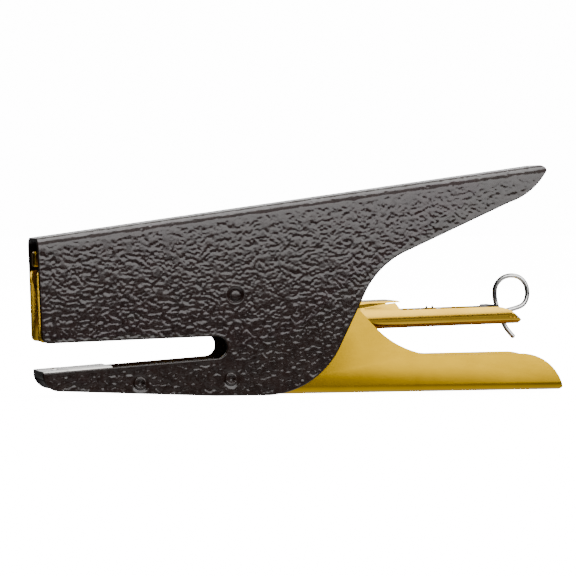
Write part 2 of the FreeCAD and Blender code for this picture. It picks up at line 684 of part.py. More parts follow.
def make_cover():
    """Cover over the staples, welded between the ears and standing on tabs."""
    body = new_body("staple_cover")
    end = pivot_u + size.cover_end
    side = new_sketch(body, "side")
    outline(side, [
        (size.cover_start, cover_low),
        (end, cover_low),
        (end - size.cover_nose, cover_top, size.cover_round),
        (size.cover_start, cover_top),
    ])
    pad(body, "plate", side, channel_inner)
    skirt = new_sketch(body, "skirt")
    skirt_u = pivot_u + size.cover_tab_rear
    outline(skirt, [
        (skirt_u, size.channel_side + size.skirt_gap),
        (pivot_u + size.hump_start, size.channel_side + size.skirt_gap),
        (pivot_u + size.hump_end - size.hump_crest, size.hump_height - size.hump_dip + size.skirt_gap),
        (end - size.cover_nose, size.hump_height + size.skirt_gap),
        (end - size.cover_nose, cover_top),
        (skirt_u, cover_top),
    ])
    pad(body, "skirts", skirt, channel_outer)
    between = new_sketch(body, "between")
    box_outline(between, skirt_u - size.cut_margin, end + size.cut_margin, 0.0, cover_low)
    pocket(body, "open_sides", between, channel_inner + size.cap_inset * 2)
    for name, start in (("front", size.cover_tab_front), ("rear", pivot_u + size.cover_tab_rear)):
        wing = new_sketch(body, f"wing_{name}")
        box_outline(wing, start, start + size.cover_tab, size.channel_side, cover_top)
        pad(body, f"tab_{name}", wing, channel_outer)
        gap = new_sketch(body, f"gap_{name}")
        box_outline(gap, start - 1.0, start + size.cover_tab + 1.0, 0.0, cover_low)
        pocket(body, f"clear_{name}", gap, channel_inner + size.cap_inset * 2)
    magazine_frame(body)


def make_strip():
    """A glued strip of staples straddling the rail."""
    body = new_body("staple_strip")
    side = new_sketch(body, "side")
    box_outline(side, strip_start, strip_start + size.strip_length, crown_top - size.staple_leg, crown_top)
    pad(body, "wires", side, size.staple_crown)
    hollow = new_sketch(body, "hollow")
    box_outline(hollow, 0.0, strip_start + size.strip_length + size.cut_margin, 0.0, rail_top)
    pocket(body, "inside", hollow, size.staple_crown - size.staple_wire * 2)
    magazine_frame(body)


def make_blade():
    """Driver blade with the window that the tongue works in."""
    body = new_body("driver_blade")
    side = new_sketch(body, "front", role="YZ_Plane", shift=blade_front)
    half = size.staple_crown / 2 + size.blade_margin
    low = crown_top + size.blade_rest
    high = low + size.blade_height
    corner = size.blade_corner
    outline(side, [(-half, low), (half, low), (half, high - corner), (half - corner, high, corner),
                   (-half + corner, high), (-half, high - corner, corner)])
    pad(body, "sheet", side, size.blade_sheet, side="One side")
    blade_mid = blade_front + size.blade_sheet / 2
    tilt = size.mag_tilt
    tongue_v = (size.tongue_z - size.pivot_z) / cos(tilt) + pivot_v
    window_v = tongue_v - (blade_mid - mag_reach) * tan(tilt)
    window = new_sketch(body, "window", role="YZ_Plane", shift=blade_front - 1.0)
    wide = size.tongue_width / 2 + size.window_gap
    tall = size.tongue_height / 2 + size.window_gap
    box_outline(window, -wide, wide, window_v - tall, window_v + tall)
    pocket(body, "window_cut", window, size.cut_margin, side="One side", reverse=True)
    magazine_frame(body)


# ---------------------------------------------------------------- follower
def make_rod():
    """Wire that carries the pusher and its spring."""
    body = new_body("follower_rod")
    section = new_sketch(body, "section", role="YZ_Plane", shift=size.rod_start)
    circle(section, 0.0, size.rod_height, size.wire_radius)
    block_u = pivot_u + size.block_start
    pad(body, "wire", section, block_u + size.block_length - size.rod_short - size.rod_start, side="One side")
    magazine_frame(body)


def rod_collar(label, start, length, radius, bore):
    """Make a short tube around the follower rod."""
    body = new_body(label)
    section = new_sketch(body, "section", role="YZ_Plane", shift=start)
    circle(section, 0.0, size.rod_height, radius)
    circle(section, 0.0, size.rod_height, bore)
    pad(body, "tube", section, length, side="One side")
    magazine_frame(body)


def make_block():
    """Dark end block that closes the tail of the magazine."""
    body = new_body("end_block")
    start = pivot_u + size.block_start
    end = start + size.block_length
    side = new_sketch(body, "side")
    low = size.channel_wall + size.slide_gap
    half = channel_inner / 2 - size.slide_gap
    step_top = size.block_height - size.block_step
    bump_top = size.block_height + size.block_bump
    outline(side, [
        (start, low), (end, low), (end, size.block_height),
        (end - size.block_step, bump_top),
        (end - size.block_step * 6, bump_top),
        (end - size.block_length / 2, step_top), (start, step_top),
    ])
    pad(body, "plug", side, half * 2)
    dress(body, "Fillet", "lower_edges", lambda e: along(e, Vector(1, 0, 0))
          and e.BoundBox.ZMax < low.value + 0.1 and beside(e, half), size.block_round)
    bore = new_sketch(body, "bore", role="YZ_Plane", shift=start - 1.0)
    circle(bore, 0.0, size.rod_height, size.wire_radius)
    pocket(body, "bored", bore, size.block_length, side="One side", reverse=True)
    magazine_frame(body)


def bent_wire(points, radius):
    """Return a round wire along points, each corner rounded by the largest arc its runs allow."""
    edges = []
    start = points[0]
    for before, corner, after in zip(points, points[1:], points[2:]):
        reach = 0.45 * min((before - corner).Length, (after - corner).Length)
        back = (before - corner).normalize()
        ahead = (after - corner).normalize()
        half_turn = (math.pi - back.getAngle(ahead)) / 2
        bend = reach / math.tan(half_turn)
        first = corner + back * reach
        last = corner + ahead * reach
        middle = corner + (back + ahead).normalize() * (bend / math.cos(half_turn) - bend)
        edges.append(Part.LineSegment(start, first).toShape())
        edges.append(Part.Arc(first, middle, last).toShape())
        start = last
    edges.append(Part.LineSegment(start, points[-1]).toShape())
    path = Part.Wire(edges)
    section = Part.Wire(Part.Circle(points[0], points[1] - points[0], radius).toShape())
    return path.makePipeShell([section], True, True)


def make_ring():
    """Wire ring at the tail: a round eye whose leg drops through the tail slot beside its root."""
    ring = doc.addObject("Part::Feature", "ring_clip")
    ring.Label = "ring_clip"
    NODES.append(ring)
    side = size.wire_radius + size.slide_gap / 2
    block_end = pivot_u + size.block_start + size.block_length
    root_v = size.rod_height
    radius = size.ring_radius
    eye_u = block_end + size.eye_back
    eye_v = root_v + size.eye_lift
    stations = [
        (block_end, root_v, -side),
        (eye_u - 1.2, root_v + 0.7, -side),
        (eye_u + radius * 0.72, eye_v - radius * 0.86, -side),
        (eye_u + radius * 1.02, eye_v - radius * 0.30, -side),
        (eye_u + radius * 0.93, eye_v + radius * 0.52, -side),
        (eye_u + radius * 0.40, eye_v + radius * 1.02, -side),
        (eye_u - radius * 0.40, eye_v + radius * 1.02, -side * 0.3),
        (eye_u - radius * 0.93, eye_v + radius * 0.52, side * 0.5),
        (eye_u - radius * 1.00, eye_v - radius * 0.25, side),
        (eye_u - radius * 0.92, eye_v - radius * 0.95, side),
        (eye_u - 2.2, -0.9, side),
        (eye_u + 0.9, -4.5, side),
    ]
    points = []
    for u, v, y in stations:
        point = magazine_point(u, v)
        point.y = as_term(y).value
        points.append(point)
    ring.Shape = bent_wire(points, size.wire_radius.value)


def make_pusher():
    """Saddle that slides over the rail on the follower rod and pushes the staples."""
    body = new_body("pusher")
    end = pusher_start + size.pusher_length
    half = size.staple_crown / 2 - size.pusher_play
    saddle_low = size.channel_wall + size.pusher_foot
    side = new_sketch(body, "side")
    box_outline(side, pusher_start, end, saddle_low, pusher_top)
    pad(body, "saddle", side, half * 2)
    hollow = new_sketch(body, "hollow")
    box_outline(hollow, pusher_start - 1.0, end + 1.0, 0.0, rail_top + size.slide_gap)
    pocket(body, "inside", hollow, (half - size.pusher_sheet) * 2)
    stem = new_sketch(body, "stem")
    box_outline(stem, pusher_start, end, size.pusher_low, rail_top + size.slide_gap)
    pad(body, "key", stem, size.pusher_stem * 2)
    collar = new_sketch(body, "collar", role="YZ_Plane", shift=pusher_start)
    circle(collar, 0.0, size.rod_height, size.nut_radius)
    pad(body, "nut", collar, size.pusher_length, side="One side")
    bore = new_sketch(body, "bore", role="YZ_Plane", shift=pusher_start - 1.0)
    circle(bore, 0.0, size.rod_height, size.wire_radius + size.pin_fit)
    pocket(body, "bored", bore, size.pusher_length + 2.0, side="One side", reverse=True)
    magazine_frame(body)


# ---------------------------------------------------------------- springs
def make_return_spring():
    """Torsion spring on the pivot sleeve: one leg under the bridge, one under the roof."""
    spring = doc.addObject("Part::Feature", "return_spring")
    spring.Label = "return_spring"
    NODES.append(spring)
    centre = Vector(size.pivot_x.value, 0, size.pivot_z.value)
    half = size.coil_half.value
    outer = size.coil_radius.value
    leg = size.leg_radius.value
    coil = Part.makeCylinder(outer, half * 2, centre - Vector(0, half, 0), Vector(0, 1, 0))
    bore = Part.makeCylinder(outer - leg * 2, half * 2, centre - Vector(0, half, 0), Vector(0, 1, 0))
    coil = coil.cut(bore)
    mean = outer - leg
    bridge_end = Vector((size.bridge_x + size.bridge_length - size.leg_overlap).value, 0, 0)
    bridge_end.z = (size.bridge_z - size.lever_sheet - size.leg_radius - size.clamp_gap).value
    slope = math.radians(size.top_angle.value)
    roof_x = (size.pivot_x + size.roof_leg).value
    roof_z = size.front_top_z.value + (roof_x - front_top_x.value) * math.tan(slope)
    roof_end = Vector(roof_x, 0, roof_z - (size.body_sheet.value + leg + 0.15) / math.cos(slope))
    for side_y, end in ((-half + leg, bridge_end), (half - leg, roof_end)):
        target = end - centre
        distance = math.hypot(target.x, target.z)
        lean = math.acos(mean / distance)
        heading = math.atan2(target.z, target.x)
        angle = heading - lean if target.x < 0 else heading + lean
        root = centre + Vector(mean * math.cos(angle), 0, mean * math.sin(angle))
        offset = Vector(0, side_y, 0)
        run = end - root
        coil = coil.fuse(Part.makeCylinder(leg, run.Length, root + offset, run))
    spring.Shape = coil.removeSplitter()


def make_clamp_spring():
    """Compression spring between the magazine cover and the bridge, as a plain tube."""
    foot = magazine_point(mag_reach + size.clamp_x - size.pivot_x, cover_top)
    lift = size.clamp_radius.value * math.sin(math.radians(size.mag_tilt.value)) + size.clamp_gap.value
    body = new_body("clamp_spring")
    base = Term(foot.z + lift, f"({foot.z + lift})")
    section = new_sketch(body, "section", role="XY_Plane", shift=base)
    circle(section, size.clamp_x, 0.0, size.clamp_radius)
    circle(section, size.clamp_x, 0.0, size.clamp_radius - size.clamp_wall)
    top = size.bridge_z - size.lever_sheet - size.clamp_gap
    pad(body, "coils", section, top - base, side="One side")


# ---------------------------------------------------------------- assembly
make_body_shell()
make_anvil()
make_rivet("front_rivet", front_x + size.front_rivet_x, size.front_rivet_z)
make_rivet("rear_rivet", size.pivot_x - size.rear_rivet_x, size.rear_rivet_z)
round_bar("pivot_pin", size.pivot_x, size.pivot_z, size.pin_radius, body_width)
make_lever()
make_tongue()
make_bridge()
make_channel()
make_guide()
make_rail()
make_cover()
make_strip()
round_bar("pivot_sleeve", size.pivot_x, size.pivot_z, size.sleeve_radius, channel_inner - size.running_gap,
          bore=size.pin_radius + size.pin_fit)
make_blade()
make_rod()
rod_collar("rod_tip", size.rod_start + size.tip_inset, size.stop_length, size.wire_radius + size.tip_wall,
           size.wire_radius)
rod_collar("spring_stop", pivot_u + size.spring_end, size.stop_length, size.spring_radius, size.wire_radius)
make_block()
make_ring()
make_pusher()
spring_start = pusher_start + size.pusher_length + size.clamp_gap
rod_collar("pusher_spring", spring_start, pivot_u + size.spring_end - size.clamp_gap - spring_start,
           size.spring_radius, size.wire_radius + size.tip_wall)
make_return_spring()
make_clamp_spring()

doc.recompute()
for item in doc.Objects:
    if any(word in state for state in item.State for word in ("Invalid", "Error")):
        raise RuntimeError(f"{item.Name} failed: {item.State}")
os.makedirs("parts", exist_ok=True)
for node in NODES:
    if node.Shape.isNull() or not node.Shape.isValid():
        raise RuntimeError(f"{node.Label} has no valid shape")
    node.Shape.exportStep(f"parts/{node.Label}.step")
    print(f"{node.Label:18s} volume {node.Shape.Volume:9.2f} mm3  solids {len(node.Shape.Solids)}")
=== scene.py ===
"""Hand-held plier stapler: finishes, sheet edges, wire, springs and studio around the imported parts.

Every length is in metres, in the parts' own frame: +X from the staple mouth to the handle tips,
Y across the body, +Z up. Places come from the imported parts; a few driving sizes are dataclass fields.
"""
import json
import logging
import math
import random
from dataclasses import dataclass, field
from enum import Enum
from typing import Callable, Iterable, Sequence

import bmesh
import bpy
from mathutils import Matrix, Vector, kdtree, noise
from mathutils.geometry import delaunay_2d_cdt


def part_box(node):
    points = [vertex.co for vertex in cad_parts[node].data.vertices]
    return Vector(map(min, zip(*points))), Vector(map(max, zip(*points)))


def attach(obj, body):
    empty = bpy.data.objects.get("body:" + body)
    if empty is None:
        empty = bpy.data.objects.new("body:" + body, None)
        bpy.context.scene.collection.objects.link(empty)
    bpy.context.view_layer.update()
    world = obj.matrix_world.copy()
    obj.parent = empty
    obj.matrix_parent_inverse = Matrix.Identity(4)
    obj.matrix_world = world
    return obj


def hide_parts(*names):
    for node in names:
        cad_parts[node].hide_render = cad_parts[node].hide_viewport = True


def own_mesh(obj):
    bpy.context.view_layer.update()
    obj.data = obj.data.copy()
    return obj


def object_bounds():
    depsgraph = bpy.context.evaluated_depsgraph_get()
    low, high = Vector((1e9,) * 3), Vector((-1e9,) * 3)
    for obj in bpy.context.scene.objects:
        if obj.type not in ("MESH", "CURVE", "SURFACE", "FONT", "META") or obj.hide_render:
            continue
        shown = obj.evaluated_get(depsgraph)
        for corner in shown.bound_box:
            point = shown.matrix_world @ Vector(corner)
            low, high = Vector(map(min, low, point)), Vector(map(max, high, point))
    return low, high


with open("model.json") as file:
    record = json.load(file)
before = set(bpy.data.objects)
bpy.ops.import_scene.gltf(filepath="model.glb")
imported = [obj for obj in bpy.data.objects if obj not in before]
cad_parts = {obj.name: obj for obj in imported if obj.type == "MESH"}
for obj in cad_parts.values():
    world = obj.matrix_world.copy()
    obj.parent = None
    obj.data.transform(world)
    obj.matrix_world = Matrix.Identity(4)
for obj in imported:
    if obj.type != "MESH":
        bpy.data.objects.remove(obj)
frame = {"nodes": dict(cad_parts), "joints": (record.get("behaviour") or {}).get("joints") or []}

CAD_LOW, CAD_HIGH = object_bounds()
MM = 0.001
LOG = logging.getLogger("plier_stapler")
Object = bpy.types.Object
Socket = bpy.types.NodeSocket
ACROSS = Vector((0.0, 1.0, 0.0))


class Slot(Enum):
    """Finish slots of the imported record."""

    ENAMEL = "hammer_enamel"
    SATIN_BRASS = "satin_brass"
    BRIGHT_BRASS = "bright_brass"
    ANVIL = "anvil_steel"
    ZINC = "zinc_steel"
    STAPLE = "staple_wire"
    SPRING = "spring_steel"
    NICKEL = "nickel_wire"
    NYLON = "black_nylon"


class Body(Enum):
    """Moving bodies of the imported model."""

    FRAME = "frame"
    LEVER = "lever"
    MAGAZINE = "magazine"
    DRIVER = "driver"
    FOLLOWER = "follower"
    PUSHER = "pusher"


# ---------------------------------------------------------------- node building
Colour = tuple[float, float, float, float]
WHITE: Colour = (1.0, 1.0, 1.0, 1.0)


class NodeBench:
    """A node tree under construction: adds nodes and feeds their sockets."""

    def __init__(self, tree: bpy.types.NodeTree) -> None:
        """Work on this tree."""
        self.tree = tree

    def feed(self, socket: Socket, value: object) -> None:
        """Give a socket a number, a colour or another node's output.

        Args:
            socket: input socket.
            value: plain value or output socket.
        """
        if isinstance(value, Socket):
            self.tree.links.new(value, socket)
        else:
            socket.default_value = value

    def add(self, kind: str, feeds: dict[str | int, object] | None = None,
            **fields: object) -> bpy.types.Node:
        """Add one node.

        Args:
            kind: type name of the node.
            feeds: value or output for each of its inputs, by name or number.
            **fields: plain properties of the node.

        Returns:
            The new node.
        """
        node = self.tree.nodes.new(kind)
        for name, value in fields.items():
            setattr(node, name, value)
        for name, value in (feeds or {}).items():
            self.feed(node.inputs[name], value)
        return node

    def first(self, kind: str) -> bpy.types.Node:
        """Return the first node of a type."""
        return next(node for node in self.tree.nodes if node.type == kind)


class Shader(NodeBench):
    """A material under construction, from left to right."""

    def __init__(self, name: str) -> None:
        """Start a node material with a Principled surface.

        Args:
            name: name of the material.
        """
        self.material = bpy.data.materials.new(name)
        self.material.use_nodes = True
        super().__init__(self.material.node_tree)
        self.surface = self.first("BSDF_PRINCIPLED")
        self.coords = self.add("ShaderNodeTexCoord").outputs["Object"]

    def stretched(self, scale: Sequence[float]) -> Socket:
        """Return the object coordinates scaled along each axis."""
        return self.add("ShaderNodeMapping", {"Vector": self.coords, "Scale": scale}).outputs["Vector"]

    def noise(self, size: float, detail: float = 2.0, warp: float = 0.0,
              vector: Socket | None = None) -> Socket:
        """Return cloud noise.

        Args:
            size: length of one cell in metres.
            detail: octaves of finer noise.
            warp: how far the pattern twists on itself.
            vector: coordinates to use instead of the object's own.

        Returns:
            The noise value, about 0 to 1.
        """
        node = self.add("ShaderNodeTexNoise", {
            "Vector": vector or self.coords, "Scale": 1.0 / size, "Detail": detail, "Distortion": warp})
        return node.outputs["Fac"]

    def spread(self, value: Socket, low: float, high: float,
               start: float = 0.3, end: float = 0.7) -> Socket:
        """Map a value from start..end to low..high, clamped.

        Args:
            value: value to map.
            low: result at start.
            high: result at end.
            start: value that gives low.
            end: value that gives high.

        Returns:
            The mapped value.
        """
        node = self.add("ShaderNodeMapRange", {
            "Value": value, "From Min": start, "From Max": end, "To Min": low, "To Max": high})
        return node.outputs["Result"]

    def math(self, operation: str, first: object, second: object = 0.0) -> Socket:
        """Return the result of one math operation."""
        return self.add("ShaderNodeMath", {0: first, 1: second}, operation=operation).outputs["Value"]

    def blend(self, amount: Socket, first: object, second: object) -> Socket:
        """Mix two colours.

        Args:
            amount: share of the second colour.
            first: colour at 0.
            second: colour at 1.

        Returns:
            The mixed colour.
        """
        node = self.add("ShaderNodeMix", {"Factor": amount}, data_type="RGBA")
        colours = [socket for socket in node.inputs if socket.type == "RGBA"]
        for socket, value in zip(colours, (first, second)):
            self.feed(socket, value)
        return next(socket for socket in node.outputs if socket.type == "RGBA")

    def bump(self, height: Socket, depth: float, strength: float = 1.0,
             under: Socket | None = None) -> Socket:
        """Turn a height into a normal.

        Args:
            height: height pattern.
            depth: metres that a height of 1 stands for.
            strength: how much of it shows.
            under: normal of another bump that this one lies on.

        Returns:
            The normal.
        """
        feeds = {"Height": height, "Distance": depth, "Strength": strength}
        if under is not None:
            feeds["Normal"] = under
        return self.add("ShaderNodeBump", feeds).outputs["Normal"]

    def set(self, **sockets: object) -> None:
        """Feed the Principled surface; underscores stand for spaces."""
        for name, value in sockets.items():
            self.feed(self.surface.inputs[name.replace("_", " ")], value)


def times(tone: Colour, factor: float) -> Colour:
    """Return a colour made darker or lighter."""
    return tuple(channel * factor for channel in tone[:3]) + (1.0,)


# ---------------------------------------------------------------- finishes
@dataclass(frozen=True)
class HammerEnamel:
    """Dark brown stoved enamel with a glossy pebbled skin over slightly bowed sheet."""

    name: str
    dark: Colour = (0.0125, 0.0055, 0.0040, 1.0)
    light: Colour = (0.0240, 0.0125, 0.0100, 1.0)
    mottle: float = 3.0 * MM
    haze: float = 0.8 * MM
    rough_low: float = 0.15
    rough_high: float = 0.24
    ior: float = 1.54
    middle: float = 33.0 * MM
    bow: float = 1.1
    swell: float = 1.7 * MM
    swell_depth: float = 0.035 * MM
    swell_strength: float = 0.6

    def material(self) -> bpy.types.Material:
        """Build the finish.

        Returns:
            The material.
        """
        shader = Shader(self.name)
        tint = shader.noise(self.mottle, 3.0)
        shader.set(Base_Color=shader.blend(shader.spread(tint, 0.0, 1.0), self.dark, self.light),
                   Roughness=shader.spread(shader.noise(self.haze, 2.0), self.rough_low, self.rough_high),
                   IOR=self.ior)
        parts = shader.add("ShaderNodeSeparateXYZ", {"Vector": shader.coords})
        away = shader.math("SUBTRACT", parts.outputs["Z"], self.middle)
        sag = shader.math("MULTIPLY", shader.math("MULTIPLY", away, away), -self.bow)
        panel = shader.bump(sag, 1.0)
        swell = shader.noise(self.swell, 1.0, 0.4, shader.stretched((0.7, 1.0, 1.2)))
        shader.set(Normal=shader.bump(swell, self.swell_depth, self.swell_strength, panel))
        return shader.material


@dataclass(frozen=True)
class PlatedSheet:
    """Plated sheet metal: a colour that drifts, fine grain and faint rolling lines."""

    name: str
    tone: Colour
    shade: Colour
    rough_low: float
    rough_high: float
    drift: float = 9.0 * MM
    drift_share: float = 0.7
    grain: float = 0.16 * MM
    grain_depth: float = 0.004 * MM
    line: float = 0.25 * MM
    scratch: float = 0.25
    wave: float = 2.2 * MM
    wave_depth: float = 0.012 * MM

    def material(self) -> bpy.types.Material:
        """Build the finish.

        Returns:
            The material.
        """
        shader = Shader(self.name)
        drift = shader.noise(self.drift, 4.0, 0.4)
        speck = shader.noise(self.grain, 2.0)
        lines = shader.noise(self.line, 3.0, 0.0, shader.stretched((0.06, 1.0, 1.0)))
        tint = shader.math("ADD", shader.math("MULTIPLY", drift, self.drift_share),
                           shader.math("MULTIPLY", speck, 1.0 - self.drift_share))
        rough = shader.math("ADD", shader.math("MULTIPLY", lines, self.scratch),
                            shader.math("MULTIPLY", speck, 1.0 - self.scratch))
        shader.set(Base_Color=shader.blend(shader.spread(tint, 0.0, 1.0), self.shade, self.tone),
                   Metallic=1.0,
                   Roughness=shader.spread(rough, self.rough_low, self.rough_high))
        under = shader.bump(shader.noise(self.wave, 2.0), self.wave_depth, 0.35)
        shader.set(Normal=shader.bump(speck, self.grain_depth, 0.7, under))
        return shader.material


@dataclass(frozen=True)
class DrawnWire:
    """Drawn wire or turned metal: bright, with fine draw marks."""

    name: str
    tone: Colour
    rough_low: float = 0.10
    rough_high: float = 0.22
    dullness: float = 0.72
    cloud: float = 1.5 * MM
    mark: float = 0.12 * MM
    mark_depth: float = 0.003 * MM

    def material(self) -> bpy.types.Material:
        """Build the finish.

        Returns:
            The material.
        """
        shader = Shader(self.name)
        marks = shader.noise(self.mark, 3.0)
        clouds = shader.spread(shader.noise(self.cloud, 3.0), 0.0, 1.0)
        shader.set(Base_Color=shader.blend(clouds, times(self.tone, self.dullness), self.tone),
                   Metallic=1.0,
                   Roughness=shader.spread(marks, self.rough_low, self.rough_high),
                   Normal=shader.bump(marks, self.mark_depth, 0.6))
        return shader.material


@dataclass(frozen=True)
class MouldedNylon:
    """Dark moulded plastic with a fine spark-eroded texture."""

    name: str
    tone: Colour = (0.018, 0.012, 0.011, 1.0)
    paleness: float = 1.8
    grit: float = 0.2 * MM
    grit_depth: float = 0.01 * MM
    rough_low: float = 0.38
    rough_high: float = 0.6

    def material(self) -> bpy.types.Material:
        """Build the finish.

        Returns:
            The material.
        """
        shader = Shader(self.name)
        grit = shader.noise(self.grit, 3.0)
        pale = times(self.tone, self.paleness)
        shader.set(Base_Color=shader.blend(shader.spread(grit, 0.0, 1.0), self.tone, pale),
                   Roughness=shader.spread(grit, self.rough_low, self.rough_high),
                   Normal=shader.bump(grit, self.grit_depth, 0.6))
        return shader.material


def plated(slot: Slot, tone: tuple[float, ...], shade: tuple[float, ...], *rough: float) -> PlatedSheet:
    """Return the plated finish of a slot."""
    return PlatedSheet(slot.value, (*tone, 1.0), (*shade, 1.0), *rough)


FINISHES = {
    Slot.ENAMEL: HammerEnamel(Slot.ENAMEL.value),
    Slot.SATIN_BRASS: plated(Slot.SATIN_BRASS, (0.46, 0.275, 0.004), (0.38, 0.222, 0.003), 0.28, 0.42),
    Slot.BRIGHT_BRASS: plated(Slot.BRIGHT_BRASS, (0.74, 0.46, 0.045), (0.60, 0.35, 0.024), 0.14, 0.26),
    Slot.ANVIL: plated(Slot.ANVIL, (0.50, 0.49, 0.47), (0.38, 0.37, 0.35), 0.20, 0.34),
    Slot.ZINC: plated(Slot.ZINC, (0.72, 0.72, 0.70), (0.60, 0.60, 0.58), 0.20, 0.34),
    Slot.STAPLE: DrawnWire(Slot.STAPLE.value, (0.70, 0.70, 0.71, 1.0), 0.18, 0.30),
    Slot.SPRING: DrawnWire(Slot.SPRING.value, (0.50, 0.50, 0.51, 1.0), 0.16, 0.30),
    Slot.NICKEL: DrawnWire(Slot.NICKEL.value, (0.82, 0.81, 0.79, 1.0)),
    Slot.NYLON: MouldedNylon(Slot.NYLON.value),
}
_materials: dict[Slot, bpy.types.Material] = {}


def finish_of(slot: Slot) -> bpy.types.Material:
    """Return the material of a slot, built once.

    Args:
        slot: the slot.

    Returns:
        The material.
    """
    if slot not in _materials:
        _materials[slot] = FINISHES[slot].material()
    return _materials[slot]


# ---------------------------------------------------------------- numbers and places
Profile = list[tuple[float, float]]


def clamped(value: float) -> float:
    """Hold a value between 0 and 1."""
    return min(max(value, 0.0), 1.0)


def eased(value: float) -> float:
    """Return the smooth step of a value held between 0 and 1."""
    share = clamped(value)
    return share * share * (3.0 - 2.0 * share)


def both_ends(side: Profile) -> Profile:
    """Return a half profile with its mirror image before it."""
    return [(-along, radius) for along, radius in reversed(side)] + side


def joint(name: str) -> dict[str, object]:
    """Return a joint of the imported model."""
    return next(item for item in frame["joints"] if item["name"] == name)


def middle_of(node: str) -> Vector:
    """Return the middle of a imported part's box."""
    return sum(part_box(node), Vector()) / 2


def extent(node: str, direction: Vector) -> tuple[float, float]:
    """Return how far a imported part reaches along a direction."""
    reach = [vertex.co.dot(direction) for vertex in frame["nodes"][node].data.vertices]
    return min(reach), max(reach)


# ---------------------------------------------------------------- pieces and meshes
def add_object(name: str, mesh: bpy.types.Mesh) -> Object:
    """Link a mesh into the scene as an object at the origin.

    Args:
        name: name of the object.
        mesh: its mesh.

    Returns:
        The new object.
    """
    piece = bpy.data.objects.new(name, mesh)
    bpy.context.scene.collection.objects.link(piece)
    return piece


def settle(piece: Object, body: Body, slot: Slot, nodes: Iterable[str] = ()) -> Object:
    """Dress a piece, let it ride on a body and stand for parts.

    Args:
        piece: the finished piece.
        body: the body that carries it.
        slot: its finish.
        nodes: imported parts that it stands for.

    Returns:
        The same piece.
    """
    piece.data.materials.clear()
    piece.data.materials.append(finish_of(slot))
    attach(piece, body.value)
    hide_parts(*nodes)
    LOG.info("%s: %d faces on %s", piece.name, len(piece.data.polygons), body.value)
    return piece


def mesh_from(bm: bmesh.types.BMesh, name: str, smooth_angle: float = math.radians(32.0)) -> Object:
    """Turn an edit mesh into an object, smooth except across sharp edges.

    Args:
        bm: edit mesh, freed here.
        name: name of the new object.
        smooth_angle: edges that turn more than this stay sharp.

    Returns:
        The new object.
    """
    mesh = bpy.data.meshes.new(name)
    bm.to_mesh(mesh)
    bm.free()
    mesh.shade_smooth()
    mesh.set_sharp_from_angle(angle=smooth_angle)
    return add_object(name, mesh)


def merged(node: str) -> bmesh.types.BMesh:
    """Return a welded edit-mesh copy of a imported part.

    Args:
        node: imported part.

    Returns:
        The edit mesh, to be freed by the caller.
    """
    bm = bmesh.new()
    bm.from_mesh(frame["nodes"][node].data)
    bmesh.ops.remove_doubles(bm, verts=bm.verts, dist=2e-6)
    bm.normal_update()
    return bm


def baked(piece: Object) -> Object:
    """Replace a piece's modifiers by their result.

    Args:
        piece: piece with live modifiers.

    Returns:
        The same piece, with none left.
    """
    depsgraph = bpy.context.evaluated_depsgraph_get()
    result = bpy.data.meshes.new_from_object(piece.evaluated_get(depsgraph))
    piece.modifiers.clear()
    piece.data = result
    return piece


def soften(piece: Object, width: float, segments: int = 2) -> Object:
    """Round the sharp edges of a piece.

    Args:
        piece: piece with flat cut edges.
        width: width of the rounding.
        segments: faces across it.

    Returns:
        The same piece, with the rounding in its mesh.
    """
    bevel = piece.modifiers.new("edges", "BEVEL")
    bevel.width = width
    bevel.segments = segments
    bevel.limit_method = "ANGLE"
    bevel.angle_limit = math.radians(38.0)
    bevel.use_clamp_overlap = True
    bevel.miter_outer = "MITER_SHARP"
    baked(piece)
    piece.data.shade_smooth()
    piece.data.set_sharp_from_angle(angle=math.radians(40.0))
    return piece


def sheet_piece(node: str, name: str, edge: float, body: Body, slot: Slot) -> Object:
    """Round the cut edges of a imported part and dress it.

    Args:
        node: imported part.
        name: name of the piece.
        edge: width of the rounding.
        body: the body that carries it.
        slot: its finish.

    Returns:
        The piece.
    """
    return settle(soften(mesh_from(merged(node), name), edge), body, slot, [node])


def slice_along(bm: bmesh.types.BMesh, origin: Vector, normal: Vector, stations: Iterable[float]) -> None:
    """Cut extra loops across a mesh, so that it can bend between them.

    Args:
        bm: edit mesh.
        origin: place that the distances start from.
        normal: direction across the cuts.
        stations: distance of each cut.
    """
    for station in stations:
        everything = [*bm.verts, *bm.edges, *bm.faces]
        bmesh.ops.bisect_plane(bm, geom=everything, dist=1e-7, plane_co=origin + normal * station,
                               plane_no=normal)


def bridge(bm: bmesh.types.BMesh, rings: Sequence[Sequence[bmesh.types.BMVert]], sides: int) -> None:
    """Join neighbouring rings by faces; a ring of one point closes an end.

    Args:
        bm: edit mesh that holds the rings.
        rings: points of each ring in order.
        sides: points in a full ring.
    """
    for first, second in zip(rings, rings[1:]):
        for step in range(sides):
            after = (step + 1) % sides
            corners = [first[step % len(first)], first[after % len(first)],
                       second[after % len(second)], second[step % len(second)]]
            bm.faces.new(list(dict.fromkeys(corners)))
    bmesh.ops.recalc_face_normals(bm, faces=bm.faces)


